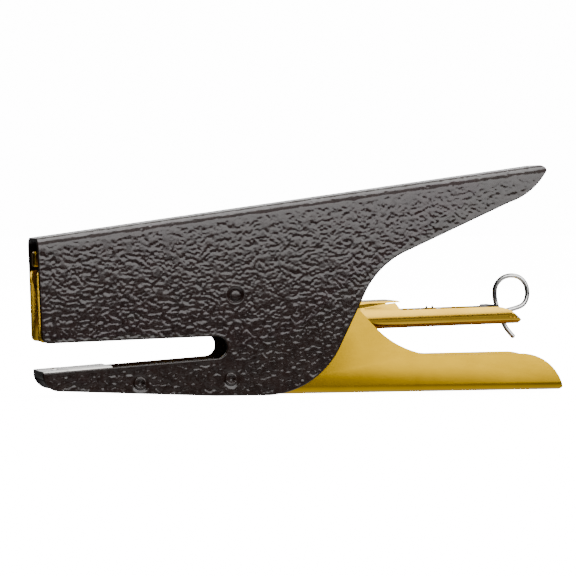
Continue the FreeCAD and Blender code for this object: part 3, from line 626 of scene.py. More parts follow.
def lathe(name: str, profile: Profile, origin: Vector, axis: Vector,
          sides: int = 48, ripple: Callable[[float, float], float] | None = None) -> Object:
    """Turn a closed profile round an axis.

    Args:
        name: name of the piece.
        profile: (distance along the axis, radius) pairs; the first and last radius are 0.
        origin: point on the axis.
        axis: direction of the axis.
        sides: faces round the axis.
        ripple: extra distance along the axis from the radius and the angle.

    Returns:
        The turned piece.
    """
    bm = bmesh.new()
    axis = axis.normalized()
    side = axis.orthogonal().normalized()
    other = axis.cross(side)
    rings = []
    for along, radius in profile:
        if radius <= 1e-9:
            rings.append([bm.verts.new(origin + axis * along)])
            continue
        ring = []
        for step in range(sides):
            angle = math.tau * step / sides
            lift = ripple(radius, angle) * math.copysign(1.0, along) if ripple else 0.0
            spoke = side * math.cos(angle) + other * math.sin(angle)
            ring.append(bm.verts.new(origin + axis * (along + lift) + spoke * radius))
        rings.append(ring)
    bridge(bm, rings, sides)
    return mesh_from(bm, name)


def tube(name: str, points: Sequence[Vector], radius: float, sides: int = 20) -> Object:
    """Sweep a round wire with domed ends along points.

    Args:
        name: name of the piece.
        points: centreline, close together.
        radius: radius of the wire.
        sides: faces round the wire.

    Returns:
        The wire.
    """
    bm = bmesh.new()
    tangents = []
    for index in range(len(points)):
        before = points[max(index - 1, 0)]
        after = points[min(index + 1, len(points) - 1)]
        tangents.append((after - before).normalized())
    side = tangents[0].orthogonal().normalized()
    sections = []
    dome = [(math.sin(math.radians(a)), math.cos(math.radians(a))) for a in (90, 68, 45, 22)]
    for index, (point, tangent) in enumerate(zip(points, tangents)):
        side = (side - tangent * side.dot(tangent)).normalized()
        if index == 0:
            sections += [(point - tangent * (radius * (out - 1.0)), side, tangent, radius * size)
                         for out, size in dome]
        sections.append((point, side, tangent, radius))
        if index == len(points) - 1:
            sections += [(point + tangent * (radius * (out - 1.0)), side, tangent, radius * size)
                         for out, size in reversed(dome)]
    sections[len(dome)] = (points[0] + tangents[0] * radius, *sections[len(dome)][1:])
    last = len(sections) - len(dome) - 1
    sections[last] = (points[-1] - tangents[-1] * radius, *sections[last][1:])
    rings = []
    for centre, across, tangent, size in sections:
        if size < radius * 0.02:
            rings.append([bm.verts.new(centre)])
            continue
        other = tangent.cross(across)
        rings.append([bm.verts.new(centre + (across * math.cos(a) + other * math.sin(a)) * size)
                      for a in (math.tau * step / sides for step in range(sides))])
    bridge(bm, rings, sides)
    return mesh_from(bm, name, math.radians(60.0))


def smooth_line(controls: Sequence[Vector], resolution: int = 12) -> list[Vector]:
    """Return points along a smooth curve that these control points steer.

    Args:
        controls: points that steer the curve.
        resolution: steps between two of them.

    Returns:
        Points along the curve.
    """
    curve = bpy.data.curves.new("route", "CURVE")
    curve.dimensions = "3D"
    spline = curve.splines.new("NURBS")
    spline.points.add(len(controls) - 1)
    for point, place in zip(spline.points, controls):
        point.co = (*place, 1.0)
    spline.order_u = 3
    spline.use_endpoint_u = True
    spline.resolution_u = resolution
    holder = bpy.data.objects.new("route", curve)
    bpy.context.scene.collection.objects.link(holder)
    depsgraph = bpy.context.evaluated_depsgraph_get()
    mesh = bpy.data.meshes.new_from_object(holder.evaluated_get(depsgraph))
    points = [vertex.co.copy() for vertex in mesh.vertices]
    bpy.data.objects.remove(holder)
    bpy.data.curves.remove(curve)
    bpy.data.meshes.remove(mesh)
    return points


# ---------------------------------------------------------------- geometry node trees
class Tree(NodeBench):
    """A geometry node tree under construction, with named inputs."""

    def __init__(self, name: str) -> None:
        """Start a tree with one geometry output.

        Args:
            name: name of the tree.
        """
        super().__init__(bpy.data.node_groups.new(name, "GeometryNodeTree"))
        self.tree.interface.new_socket("Geometry", in_out="OUTPUT", socket_type="NodeSocketGeometry")
        self.entry = self.add("NodeGroupInput")
        self.exit = self.add("NodeGroupOutput")

    def input(self, name: str, kind: str) -> Socket:
        """Add a named input and return its socket inside the tree."""
        self.tree.interface.new_socket(name, in_out="INPUT", socket_type=f"NodeSocket{kind}")
        return self.entry.outputs[name]

    def math(self, operation: str, first: Socket, second: Socket) -> Socket:
        """Return the result of one math operation."""
        return self.add("ShaderNodeMath", {0: first, 1: second}, operation=operation).outputs[0]

    def finish(self, geometry: Socket, material: Socket) -> bpy.types.NodeTree:
        """End the tree in Realize Instances and Set Material.

        Args:
            geometry: output that ends the shape.
            material: output that carries the finish.

        Returns:
            The finished tree.
        """
        real = self.add("GeometryNodeRealizeInstances", {"Geometry": geometry})
        smooth = self.add("GeometryNodeSetShadeSmooth", {"Geometry": real.outputs["Geometry"]})
        dressed = self.add("GeometryNodeSetMaterial",
                           {"Geometry": smooth.outputs["Geometry"], "Material": material})
        self.feed(self.exit.inputs["Geometry"], dressed.outputs["Geometry"])
        return self.tree


def grow(name: str, tree: bpy.types.NodeTree, values: dict[str, object]) -> Object:
    """Run a tree and keep its result as a plain mesh.

    Args:
        name: name of the piece.
        tree: geometry node tree.
        values: value of each named input.

    Returns:
        The piece, with no modifier left.
    """
    piece = add_object(name, bpy.data.meshes.new(name))
    modifier = piece.modifiers.new("tree", "NODES")
    modifier.node_group = tree
    for item in tree.interface.items_tree:
        if item.in_out == "INPUT" and item.name in values:
            modifier[item.identifier] = values[item.name]
    return baked(piece)


def row_tree() -> bpy.types.NodeTree:
    """Tree that repeats one shape along a straight row.

    Returns:
        The tree.
    """
    tree = Tree("row_of_pieces")
    shape = tree.input("Shape", "Object")
    count = tree.input("Count", "Int")
    start = tree.input("Start", "Vector")
    step = tree.input("Step", "Vector")
    material = tree.input("Material", "Material")
    line = tree.add("GeometryNodeMeshLine", {"Count": count, "Start Location": start, "Offset": step})
    info = tree.add("GeometryNodeObjectInfo", {"Object": shape})
    placed = tree.add("GeometryNodeInstanceOnPoints",
                      {"Points": line.outputs["Mesh"], "Instance": info.outputs["Geometry"]})
    return tree.finish(placed.outputs["Instances"], material)


def coil_tree() -> bpy.types.NodeTree:
    """Tree that winds a wire into a helix along +Z with closed end turns.

    Returns:
        The tree.
    """
    tree = Tree("wound_coil")
    radius, wire, turns, height, closing = (tree.input(name, "Float") for name in (
        "Coil Radius", "Wire Radius", "Turns", "Height", "End Closing"))
    sides, per_turn = (tree.input(name, "Int") for name in ("Wire Sides", "Steps Per Turn"))
    material = tree.input("Material", "Material")
    spiral = tree.add("GeometryNodeCurveSpiral", {
        "Resolution": per_turn, "Rotations": turns, "Start Radius": radius, "End Radius": radius,
        "Height": height})
    place = tree.add("GeometryNodeInputPosition").outputs["Position"]
    parts = tree.add("ShaderNodeSeparateXYZ", {"Vector": place})
    share = tree.math("DIVIDE", parts.outputs["Z"], height)
    gentle = tree.add("ShaderNodeMapRange", {"Value": share}, interpolation_type="SMOOTHSTEP")
    shift = tree.math("SUBTRACT", gentle.outputs["Result"], share)
    scaled = tree.math("MULTIPLY", shift, closing)
    lift = tree.math("MULTIPLY", scaled, height)
    offset = tree.add("ShaderNodeCombineXYZ", {"Z": lift})
    wound = tree.add("GeometryNodeSetPosition",
                     {"Geometry": spiral.outputs["Curve"], "Offset": offset.outputs["Vector"]})
    section = tree.add("GeometryNodeCurvePrimitiveCircle", {"Resolution": sides, "Radius": wire})
    swept = tree.add("GeometryNodeCurveToMesh", {
        "Curve": wound.outputs["Geometry"], "Profile Curve": section.outputs["Curve"], "Fill Caps": True})
    return tree.finish(swept.outputs["Mesh"], material)


# ---------------------------------------------------------------- body
@dataclass
class BodyShell:
    """Folded sheet body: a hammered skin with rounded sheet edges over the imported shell."""

    fold_radius: float = 3.0 * MM
    top_slope: float = math.radians(8.1)
    edge_round: float = 0.32 * MM
    step: float = 0.40 * MM
    relief: float = 0.15 * MM
    pebble: Vector = field(default_factory=lambda: Vector((1.75 * MM, 0.95 * MM)))
    valley: float = 0.20
    plain_band: float = 9.0 * MM
    sparse: float = 0.15
    bend: float = 0.9
    break_up: float = 2.2
    soft_share: float = 0.35
    rim_plain: float = 0.3 * MM
    rim_fade: float = 0.8 * MM
    rim_rings: tuple[float, ...] = (0.35, 0.75, 1.15)
    jitter: float = 0.12
    slack: float = 0.01 * MM
    dimple_depth: float = 0.34 * MM
    dimple_reach: float = 2.75 * MM
    rivet_head: float = 2.0 * MM
    seed: int = 7
    dimples: list[Vector] = field(default_factory=list)

    def build(self) -> Object:
        """Rebuild the outer skin as a fine mesh, sink the pebbles and keep the rest.

        Returns:
            The skin.
        """
        noise.seed_set(self.seed)
        self.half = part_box("body_shell")[1].y
        self.run = Vector((math.cos(self.top_slope), 0.0, math.sin(self.top_slope)))
        self.rise = Vector((-math.sin(self.top_slope), 0.0, math.cos(self.top_slope)))
        self.dimples = [middle_of(node) for node in ("front_rivet", "rear_rivet")]
        bm = merged("body_shell")
        self.roof = max(vertex.co.dot(self.rise) for vertex in bm.verts)
        skin = [face for face in bm.faces if self._is_skin(face)]
        self._split_rim(bm, skin)
        self._remake_skin(bm, skin)
        bmesh.ops.triangulate(bm, faces=[face for face in bm.faces if len(face.verts) > 3])
        piece = mesh_from(bm, "body_skin", math.radians(55.0))
        return settle(piece, Body.FRAME, Slot.ENAMEL, ["body_shell"])

    def _is_skin(self, face: bmesh.types.BMFace) -> bool:
        """Tell whether a face lies on the outside of the folded sheet.

        Args:
            face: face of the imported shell.

        Returns:
            True for a face of the outer skin.
        """
        centre, normal = face.calc_center_median(), face.normal
        if abs(normal.y) > 0.999:
            return abs(centre.y) > self.half - self.slack
        if normal.dot(self.rise) > 0.9995:
            return self.roof - centre.dot(self.rise) < self.slack
        for vertex in face.verts:
            across = abs(vertex.co.y) - (self.half - self.fold_radius)
            down = self.roof - vertex.co.dot(self.rise) - self.fold_radius
            if across < -self.slack or down > self.slack:
                return False
            if abs(math.hypot(across, down) - self.fold_radius) > 2.0 * self.slack:
                return False
        outward = Vector((0.0, math.copysign(1.0, centre.y), 0.0)) + self.rise
        return abs(normal.dot(self.run)) < 0.02 and normal.dot(outward) > 0.5

    def _split_rim(self, bm: bmesh.types.BMesh, skin: list[bmesh.types.BMFace]) -> None:
        """Divide the long edges where the skin meets the cut edges of the sheet.

        Args:
            bm: edit mesh of the shell.
            skin: faces of the outer skin.
        """
        inside = set(skin)
        rim = [edge for edge in bm.edges if sum(face in inside for face in edge.link_faces) == 1]
        for edge in rim:
            pieces = max(1, round(edge.calc_length() / self.step))
            start, end = edge.verts
            rest = edge
            for left in range(pieces, 1, -1):
                _, middle = bmesh.utils.edge_split(rest, start, 1.0 / left)
                rest = next(e for e in middle.link_edges if e.other_vert(middle) is end)
                start = middle

    def _unroll(self, place: Vector) -> Vector:
        """Lay a point of the skin flat: along the top, and across from the ridge line.

        Args:
            place: point on the folded skin.

        Returns:
            The flat point.
        """
        down = self.roof - place.dot(self.rise)
        flat = self.half - self.fold_radius
        sign = math.copysign(1.0, place.y)
        if down >= self.fold_radius - 1e-7:
            across = flat + self.fold_radius * (math.pi / 2 - 1.0) + down
        elif abs(place.y) <= flat + 1e-7:
            across = abs(place.y)
        else:
            across = flat + self.fold_radius * math.atan2(abs(place.y) - flat, self.fold_radius - down)
        return Vector((place.dot(self.run), sign * across))

    def _roll(self, flat_place: Vector) -> tuple[Vector, Vector]:
        """Fold a flat point back and return its place and outward normal.

        Args:
            flat_place: point on the flat skin.

        Returns:
            The place and the normal.
        """
        flat = self.half - self.fold_radius
        across, sign = abs(flat_place.y), math.copysign(1.0, flat_place.y)
        angle = min(max((across - flat) / self.fold_radius, 0.0), math.pi / 2)
        reach = min(across, flat) + self.fold_radius * math.sin(angle)
        down = self.fold_radius * (1.0 - math.cos(angle))
        down += max(across - flat - self.fold_radius * math.pi / 2, 0.0)
        normal = self.rise * math.cos(angle) + Vector((0.0, sign * math.sin(angle), 0.0))
        place = self.run * flat_place.x + self.rise * (self.roof - down) + Vector((0.0, sign * reach, 0.0))
        return place, normal

    def _relief(self, flat_place: Vector, edge: float) -> float:
        """Depth of the pebbled enamel at a flat point, given its distance from the rim.

        Args:
            flat_place: point on the flat skin.
            edge: its distance from the rim.

        Returns:
            The depth below the smooth sheet.
        """
        point = Vector((flat_place.x / self.pebble.x, flat_place.y / self.pebble.y, 0.0))
        bend = noise.noise_vector(point * 0.45 + Vector((3.0, 7.0, 1.0))) * self.bend
        crease = eased(1.0 - abs(noise.noise(point + bend)) / self.valley)
        below = clamped((abs(flat_place.y) - self.half) / self.plain_band)
        density = self.sparse + (1.0 - self.sparse) * below
        broken = noise.noise(point * 0.8 + Vector((11.0, 2.0, 5.0))) * self.break_up + density
        soft = 0.5 + 0.5 * noise.noise(point * 0.7 - bend)
        fade = clamped((edge - self.rim_plain) / self.rim_fade)
        return self.relief * fade * (clamped(broken) * crease + self.soft_share * soft)

    def _dimple(self, place: Vector) -> float:
        """Depth of the dished sheet round the nearest rivet."""
        reach = min(math.hypot(place.x - at.x, place.z - at.z) for at in self.dimples)
        return self.dimple_depth * eased((self.dimple_reach - reach) / (self.dimple_reach - self.rivet_head))

    def _remake_skin(self, bm: bmesh.types.BMesh, skin: list[bmesh.types.BMFace]) -> None:
        """Replace the coarse skin faces by an even fine mesh inside the same rim.

        Args:
            bm: edit mesh of the shell.
            skin: faces of the outer skin.
        """
        inside = set(skin)
        rim_edges = [edge for edge in bm.edges if sum(face in inside for face in edge.link_faces) == 1]
        rim = list(dict.fromkeys(vertex for edge in rim_edges for vertex in edge.verts))
        index = {vertex: number for number, vertex in enumerate(rim)}
        flat = [self._unroll(vertex.co) for vertex in rim]
        inward = [Vector((0.0, 0.0)) for _ in rim]
        links: dict[int, list[int]] = {number: [] for number in range(len(rim))}
        for edge in rim_edges:
            first, second = (index[vertex] for vertex in edge.verts)
            links[first].append(second)
            links[second].append(first)
            face = next(face for face in edge.link_faces if face in inside)
            corners = [self._unroll(vertex.co) for vertex in face.verts]
            middle = sum(corners, Vector((0.0, 0.0))) / len(corners)
            along = flat[second] - flat[first]
            across = Vector((-along.y, along.x)).normalized()
            if across.dot(middle - flat[first]) < 0.0:
                across.negate()
            inward[first] += across
            inward[second] += across
        tree = kdtree.KDTree(len(flat))
        for number, place in enumerate(flat):
            tree.insert((place.x, place.y, 0.0), number)
        tree.balance()

        def gap(place: Vector) -> float:
            """Distance from a flat point to the rim."""
            return tree.find((place.x, place.y, 0.0))[2]

        loops = self._loops(links)
        outer = max(set(loops), key=loops.count)
        holes = self._hole_discs(flat, loops, outer)
        points = list(flat)
        for ring in self.rim_rings:
            reach = self.edge_round * ring
            for place, direction in zip(flat, inward):
                if direction.length > 1e-6:
                    spot = place + direction.normalized() * reach
                    if gap(spot) > reach * 0.9:
                        points.append(spot)
        points += self._grid(flat, gap, holes)
        edges = [tuple(index[vertex] for vertex in edge.verts) for edge in rim_edges]
        flat_out, _, faces, originals, _, _ = delaunay_2d_cdt(points, edges, [], 0, 1e-7, True)
        fence = {frozenset(edge) for edge in edges}
        bmesh.ops.delete(bm, geom=skin, context="FACES")
        made: list[bmesh.types.BMVert] = []
        loop_of: list[int] = []
        rim_number: list[int] = []
        for place, sources in zip(flat_out, originals):
            number = next((source for source in sources if source < len(rim)), None)
            spot, normal = self._roll(place)
            if number is None:
                edge = gap(place)
                sink = self._relief(place, edge)
                made.append(bm.verts.new(spot))
            else:
                edge, sink = 0.0, 0.0
                made.append(rim[number])
            loop_of.append(-1 if number is None else loops[number])
            rim_number.append(-1 - len(rim_number) if number is None else number)
            near = max(self.edge_round - edge, 0.0)
            sink += self.edge_round - math.sqrt(self.edge_round ** 2 - near ** 2)
            dish = self._dimple(spot) if abs(normal.y) > 0.99 else 0.0
            made[-1].co = spot - normal * max(sink, dish)
        for first, second, third in self._within(faces, rim_number, fence):
            owners = {loop_of[first], loop_of[second], loop_of[third]}
            if len(owners) == 1 and owners != {-1} and owners != {outer}:
                continue
            corners = [made[first], made[second], made[third]]
            middle = (flat_out[first] + flat_out[second] + flat_out[third]) / 3.0
            facing = (corners[1].co - corners[0].co).cross(corners[2].co - corners[0].co)
            if facing.dot(self._roll(middle)[1]) < 0.0:
                corners.reverse()
            bm.faces.new(corners)
        bmesh.ops.delete(bm, geom=[v for v in bm.verts if not v.link_faces], context="VERTS")

    @staticmethod
    def _within(faces: list[Sequence[int]], rim_number: list[int],
                fence: set[frozenset[int]]) -> list[Sequence[int]]:
        """Keep the triangles inside the rim.

        Args:
            faces: triangles of the flat skin and of everything round it.
            rim_number: rim number of each corner, or a negative number of its own.
            fence: pairs of rim numbers that a triangle outside can't cross.

        Returns:
            The triangles that no open side reaches.
        """
        beside: dict[frozenset[int], list[int]] = {}
        for number, face in enumerate(faces):
            for a, b in zip(face, (*face[1:], face[0])):
                beside.setdefault(frozenset((rim_number[a], rim_number[b])), []).append(number)
        outside = {owners[0] for side, owners in beside.items() if len(owners) == 1 and side not in fence}
        queue = list(outside)
        while queue:
            face = faces[queue.pop()]
            for a, b in zip(face, (*face[1:], face[0])):
                side = frozenset((rim_number[a], rim_number[b]))
                if side in fence:
                    continue
                for other in beside[side]:
                    if other not in outside:
                        outside.add(other)
                        queue.append(other)
        return [face for number, face in enumerate(faces) if number not in outside]

    @staticmethod
    def _loops(links: dict[int, list[int]]) -> list[int]:
        """Number the closed rim loops and return each rim point's loop.

        Args:
            links: the two neighbours of each rim point.

        Returns:
            The loop number of each rim point.
        """
        owner = [-1] * len(links)
        for start in links:
            if owner[start] >= 0:
                continue
            queue = [start]
            owner[start] = start
            while queue:
                for other in links[queue.pop()]:
                    if owner[other] < 0:
                        owner[other] = start
                        queue.append(other)
        return owner

    @staticmethod
    def _hole_discs(flat: list[Vector], loops: list[int], outer: int) -> list[tuple[Vector, float]]:
        """Return centre and radius of each round hole in the flat skin.

        Args:
            flat: rim points laid flat.
            loops: loop number of each.
            outer: number of the outer loop.

        Returns:
            Centre and radius of each hole.
        """
        discs = []
        for loop in set(loops) - {outer}:
            members = [place for place, owner in zip(flat, loops) if owner == loop]
            centre = sum(members, Vector((0.0, 0.0))) / len(members)
            discs.append((centre, max((place - centre).length for place in members)))
        return discs

    def _grid(self, flat: list[Vector], gap: Callable[[Vector], float],
              holes: list[tuple[Vector, float]]) -> list[Vector]:
        """Fill the flat skin with an evenly jittered triangular grid clear of the rim.

        Args:
            flat: rim points laid flat.
            gap: distance from a flat point to the rim.
            holes: centre and radius of each hole.

        Returns:
            The points of the grid.
        """
        dice = random.Random(self.seed)
        low = Vector((min(p.x for p in flat), min(p.y for p in flat)))
        high = Vector((max(p.x for p in flat), max(p.y for p in flat)))
        row_step = self.step * math.sqrt(3.0) / 2.0
        found = []
        for row in range(1, int((high.y - low.y) / row_step)):
            for column in range(int((high.x - low.x) / self.step)):
                spot = Vector((low.x + (column + 0.5 * (row % 2)) * self.step, low.y + row * row_step))
                spot += Vector((dice.uniform(-1, 1), dice.uniform(-1, 1))) * self.step * self.jitter
                if any((spot - centre).length < radius for centre, radius in holes):
                    continue
                if gap(spot) > self.edge_round * 1.5:
                    found.append(spot)
        return found


@dataclass
class JawFasteners:
    """Dished jaw rivets and the pivot pin with its sunken ring."""

    head_radius: float = 2.0 * MM
    shank_radius: float = 1.2 * MM
    head_sink: float = 0.30 * MM
    crest: float = 0.16 * MM
    cup_depth: float = 0.62 * MM
    splits: int = 5
    split_depth: float = 0.22 * MM
    pin_boss: float = 1.34 * MM
    pin_groove: float = 0.55 * MM

    def build(self) -> None:
        """Make both rivets and the pin."""
        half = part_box("body_shell")[1].y
        first, second = (middle_of(node) for node in ("front_rivet", "rear_rivet"))
        shape = self._rivet(half)
        rivets = grow("jaw_rivets", row_tree(), {
            "Shape": shape, "Count": 2, "Start": first, "Step": second - first,
            "Material": finish_of(Slot.ENAMEL)})
        bpy.data.objects.remove(shape)
        settle(rivets, Body.FRAME, Slot.ENAMEL, ["front_rivet", "rear_rivet"])
        self._pin(half)

    def _rivet(self, half: float) -> Object:
        """Lathe one rivet: a shank between two heads, each a rolled rim round a split cup.

        Args:
            half: half the body's width.

        Returns:
            The rivet, centred on the origin.
        """
        rim, cup = half - self.head_sink, half - self.cup_depth
        side = [(rim - 0.25 * MM, self.shank_radius)]
        side += [(along, self.head_radius * share) for along, share in (
            (rim - 0.22 * MM, 0.97), (rim, 1.0), (half - 0.04 * MM, 0.93), (half + self.crest * 0.7, 0.82),
            (half + self.crest, 0.70), (half + self.crest * 0.6, 0.58), (half - self.cup_depth * 0.35, 0.42),
            (half - self.cup_depth * 0.8, 0.25), (cup, 0.1), (cup, 0.0))]

        def split(radius: float, angle: float) -> float:
            """Creases that open the rolled rim towards its cup.

            Args:
                radius: distance from the axis.
                angle: angle round it.

            Returns:
                How far the point moves along the axis.
            """
            share = 1.0 - abs(radius / self.head_radius - 0.5) / 0.4
            wave = abs(math.sin(angle * self.splits / 2.0 + 0.4))
            return -self.split_depth * max(share, 0.0) * max(0.0, 1.0 - wave * 3.2)

        return lathe("rivet_shape", both_ends(side), Vector(), ACROSS, 60, split)

    def _pin(self, half: float) -> None:
        """Lathe the pivot pin: a shank whose ends carry a low boss inside a groove.

        Args:
            half: half the body's width.
        """
        low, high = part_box("pivot_pin")
        centre, radius = (low + high) / 2, (high.z - low.z) / 2
        floor, top = half - self.pin_groove, half - 0.06 * MM
        side = [
            (floor - 0.1 * MM, radius), (floor, radius * 0.97), (floor, self.pin_boss * 1.03),
            (floor + 0.08 * MM, self.pin_boss), (top - 0.22 * MM, self.pin_boss),
            (top - 0.07 * MM, self.pin_boss * 0.93), (top, self.pin_boss * 0.72),
            (top + 0.03 * MM, self.pin_boss * 0.3), (top + 0.035 * MM, 0.0),
        ]
        pin = lathe("pivot_pin_turned", both_ends(side), Vector((centre.x, 0.0, centre.z)), ACROSS, 64)
        settle(pin, Body.FRAME, Slot.ENAMEL, ["pivot_pin"])


@dataclass
class LowerJaw:
    """Anvil plate with its crimping grooves."""

    edge: float = 0.14 * MM

    def build(self) -> Object:
        """Round the edges of the anvil."""
        return sheet_piece("anvil_plate", "anvil_sheet", self.edge, Body.FRAME, Slot.ANVIL)


# ---------------------------------------------------------------- lever
@dataclass
class Lever:
    """Lower handle: a brass channel with its tongue bar and spring bridge."""

    edge: float = 0.16 * MM

    def build(self) -> None:
        """Round the sheet edges of the lever's parts."""
        for node, name in (("lever_channel", "lever_sheet"), ("drive_tongue", "tongue_bar"),
                           ("spring_bridge", "bridge_plate")):
            sheet_piece(node, name, self.edge, Body.LEVER, Slot.SATIN_BRASS)


# ---------------------------------------------------------------- magazine
class MagazineFrame:
    """Directions and origin of the tilted magazine: u along it, v up from its underside."""

    GUIDE_SHEET = 0.6 * MM
    TAIL_FOLD = 2.9 * MM
    LEAN = 40.0
    MOST_LEAN = 0.24 * MM

    def __init__(self) -> None:
        """Read the direction of the follower's slide and the underside of the channel."""
        self.u = Vector(joint("follower_pull")["axis"]).normalized()
        self.v = Vector((-self.u.z, 0.0, self.u.x))
        start, underside = (extent("magazine_channel", way)[0] for way in (self.u, self.v))
        self.origin = self.u * (start - self.GUIDE_SHEET) + self.v * underside

    def point(self, u: float, v: float, y: float = 0.0) -> Vector:
        """Return the place at u and v, y to the side."""
        return self.origin + self.u * u + self.v * v + Vector((0.0, y, 0.0))

    def flat(self, place: Vector) -> tuple[float, float]:
        """Return u and v of a place."""
        away = place - self.origin
        return away.dot(self.u), away.dot(self.v)

    def span(self, node: str) -> tuple[float, float]:
        """Return where a part starts and ends along the magazine."""
        return tuple(value - self.origin.dot(self.u) for value in extent(node, self.u))

    def heights(self, node: str) -> tuple[float, float]:
        """Return where a part starts and ends above the magazine's underside."""
        return tuple(value - self.origin.dot(self.v) for value in extent(node, self.v))

    def lean(self, v: float) -> float:
        """Return how far the tail's wall leans in at a height."""
        return min(self.LEAN * max(v - self.TAIL_FOLD, 0.0) ** 2, self.MOST_LEAN)


@dataclass
class Magazine:
    """Brass staple channel with its guide, rail, cover, blade and staples."""

    sheet_fold: float = 1.6 * MM
    sheet: float = 0.7 * MM
    change_start: float = 86.0 * MM
    change_length: float = 9.0 * MM
    slice_step: float = 0.4 * MM
    edge: float = 0.10 * MM
    staple_wire: float = 0.5 * MM
    staple_corner: float = 0.45 * MM
    sleeve_round: float = 0.12 * MM

    def build(self, place: MagazineFrame) -> None:
        """Make every part that swings with the magazine.

        Args:
            place: directions and origin of the magazine.
        """
        self.place = place
        self._channel()
        for node, name, body, slot in (
                ("front_guide", "guide_plate", Body.MAGAZINE, Slot.BRIGHT_BRASS),
                ("staple_rail", "rail_sheet", Body.MAGAZINE, Slot.ZINC),
                ("staple_cover", "cover_sheet", Body.MAGAZINE, Slot.BRIGHT_BRASS),
                ("driver_blade", "blade_sheet", Body.DRIVER, Slot.BRIGHT_BRASS)):
            sheet_piece(node, name, self.edge, body, slot)
        self._sleeve()
        self._staples()

    def _channel(self) -> None:
        """Give the open tail its wide fold and its walls their slight lean."""
        piece = soften(mesh_from(merged("magazine_channel"), "channel_sheet"), self.edge)
        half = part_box("magazine_channel")[1].y
        bm = bmesh.new()
        bm.from_mesh(piece.data)
        slice_along(bm, self.place.origin, self.place.v, [value * self.slice_step for value in range(1, 14)])
        slice_along(bm, self.place.origin, self.place.u,
                    [self.change_start + self.change_length * number / 6 for number in range(7)])
        for sign in (1.0, -1.0):
            slice_along(bm, Vector(), Vector((0.0, sign, 0.0)),
                        [half - self.place.TAIL_FOLD * number / 8 for number in range(1, 9)])
        for vertex in bm.verts:
            self._reshape(vertex, half)
        bm.to_mesh(piece.data)
        bm.free()
        piece.data.shade_smooth()
        piece.data.set_sharp_from_angle(angle=math.radians(40.0))
        settle(piece, Body.MAGAZINE, Slot.BRIGHT_BRASS, ["magazine_channel"])

    def _reshape(self, vertex: bmesh.types.BMVert, half: float) -> None:
        """Move one point of the channel onto the rounder tail section.

        Args:
            vertex: point to move.
            half: half the channel's width.
        """
        u, v = self.place.flat(vertex.co)
        share, fold = eased((u - self.change_start) / self.change_length), self.place.TAIL_FOLD
        if share <= 0.0:
            return
        sign = math.copysign(1.0, vertex.co.y)
        across = abs(vertex.co.y)
        corner_y, corner_v = across - (half - self.sheet_fold), self.sheet_fold - v
        if corner_y > 0.0 and corner_v > 0.0:
            depth = self.sheet_fold - math.hypot(corner_y, corner_v)
        else:
            depth = min(half - across, v)
        side, down = across - (half - fold), fold - v
        if side > 0.0 and down > 0.0:
            target = fold - max(min(depth, self.sheet), 0.0)
            factor = 1.0 + (target / max(math.hypot(side, down), 0.1 * MM) - 1.0) * share
            across = half - fold + side * factor
            v = fold - down * factor
        elif side > 0.0:
            across -= self.place.lean(v) * share
        vertex.co = self.place.point(u, v, sign * across)

    def _sleeve(self) -> None:
        """Turn the sleeve that carries the return spring."""
        low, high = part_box("pivot_sleeve")
        half, radius = high.y, (high.z - low.z) / 2
        side = [(half - self.sleeve_round, radius), (half, radius - self.sleeve_round), (half, radius * 0.8),
                (half - self.sleeve_round, 0.0)]
        sleeve = lathe("sleeve_turned", both_ends(side), (low + high) / 2, ACROSS, 40)
        settle(sleeve, Body.MAGAZINE, Slot.ZINC, ["pivot_sleeve"])

    def _staples(self) -> None:
        """Line up single staples where the strip lies."""
        half_wire = self.staple_wire / 2
        (start, end), (low, top) = self.place.span("staple_strip"), self.place.heights("staple_strip")
        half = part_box("staple_strip")[1].y - half_wire
        crown = top - half_wire
        corner = self.staple_corner
        outline = [(-half, low), (-half, crown - corner), (-half + corner * 0.3, crown - corner * 0.3),
                   (-half + corner, crown)]
        outline += [(-y, v) for y, v in reversed(outline)]
        points = [self.place.point(0.0, v, y) for y, v in outline]
        shape = tube("staple_shape", points, half_wire * 0.98, 6)
        count = round((end - start) / self.staple_wire)
        row = grow("staple_row", row_tree(), {
            "Shape": shape, "Count": count, "Start": self.place.u * (start + half_wire),
            "Step": self.place.u * self.staple_wire, "Material": finish_of(Slot.STAPLE)})
        bpy.data.objects.remove(shape)
        settle(row, Body.MAGAZINE, Slot.STAPLE, ["staple_strip"])


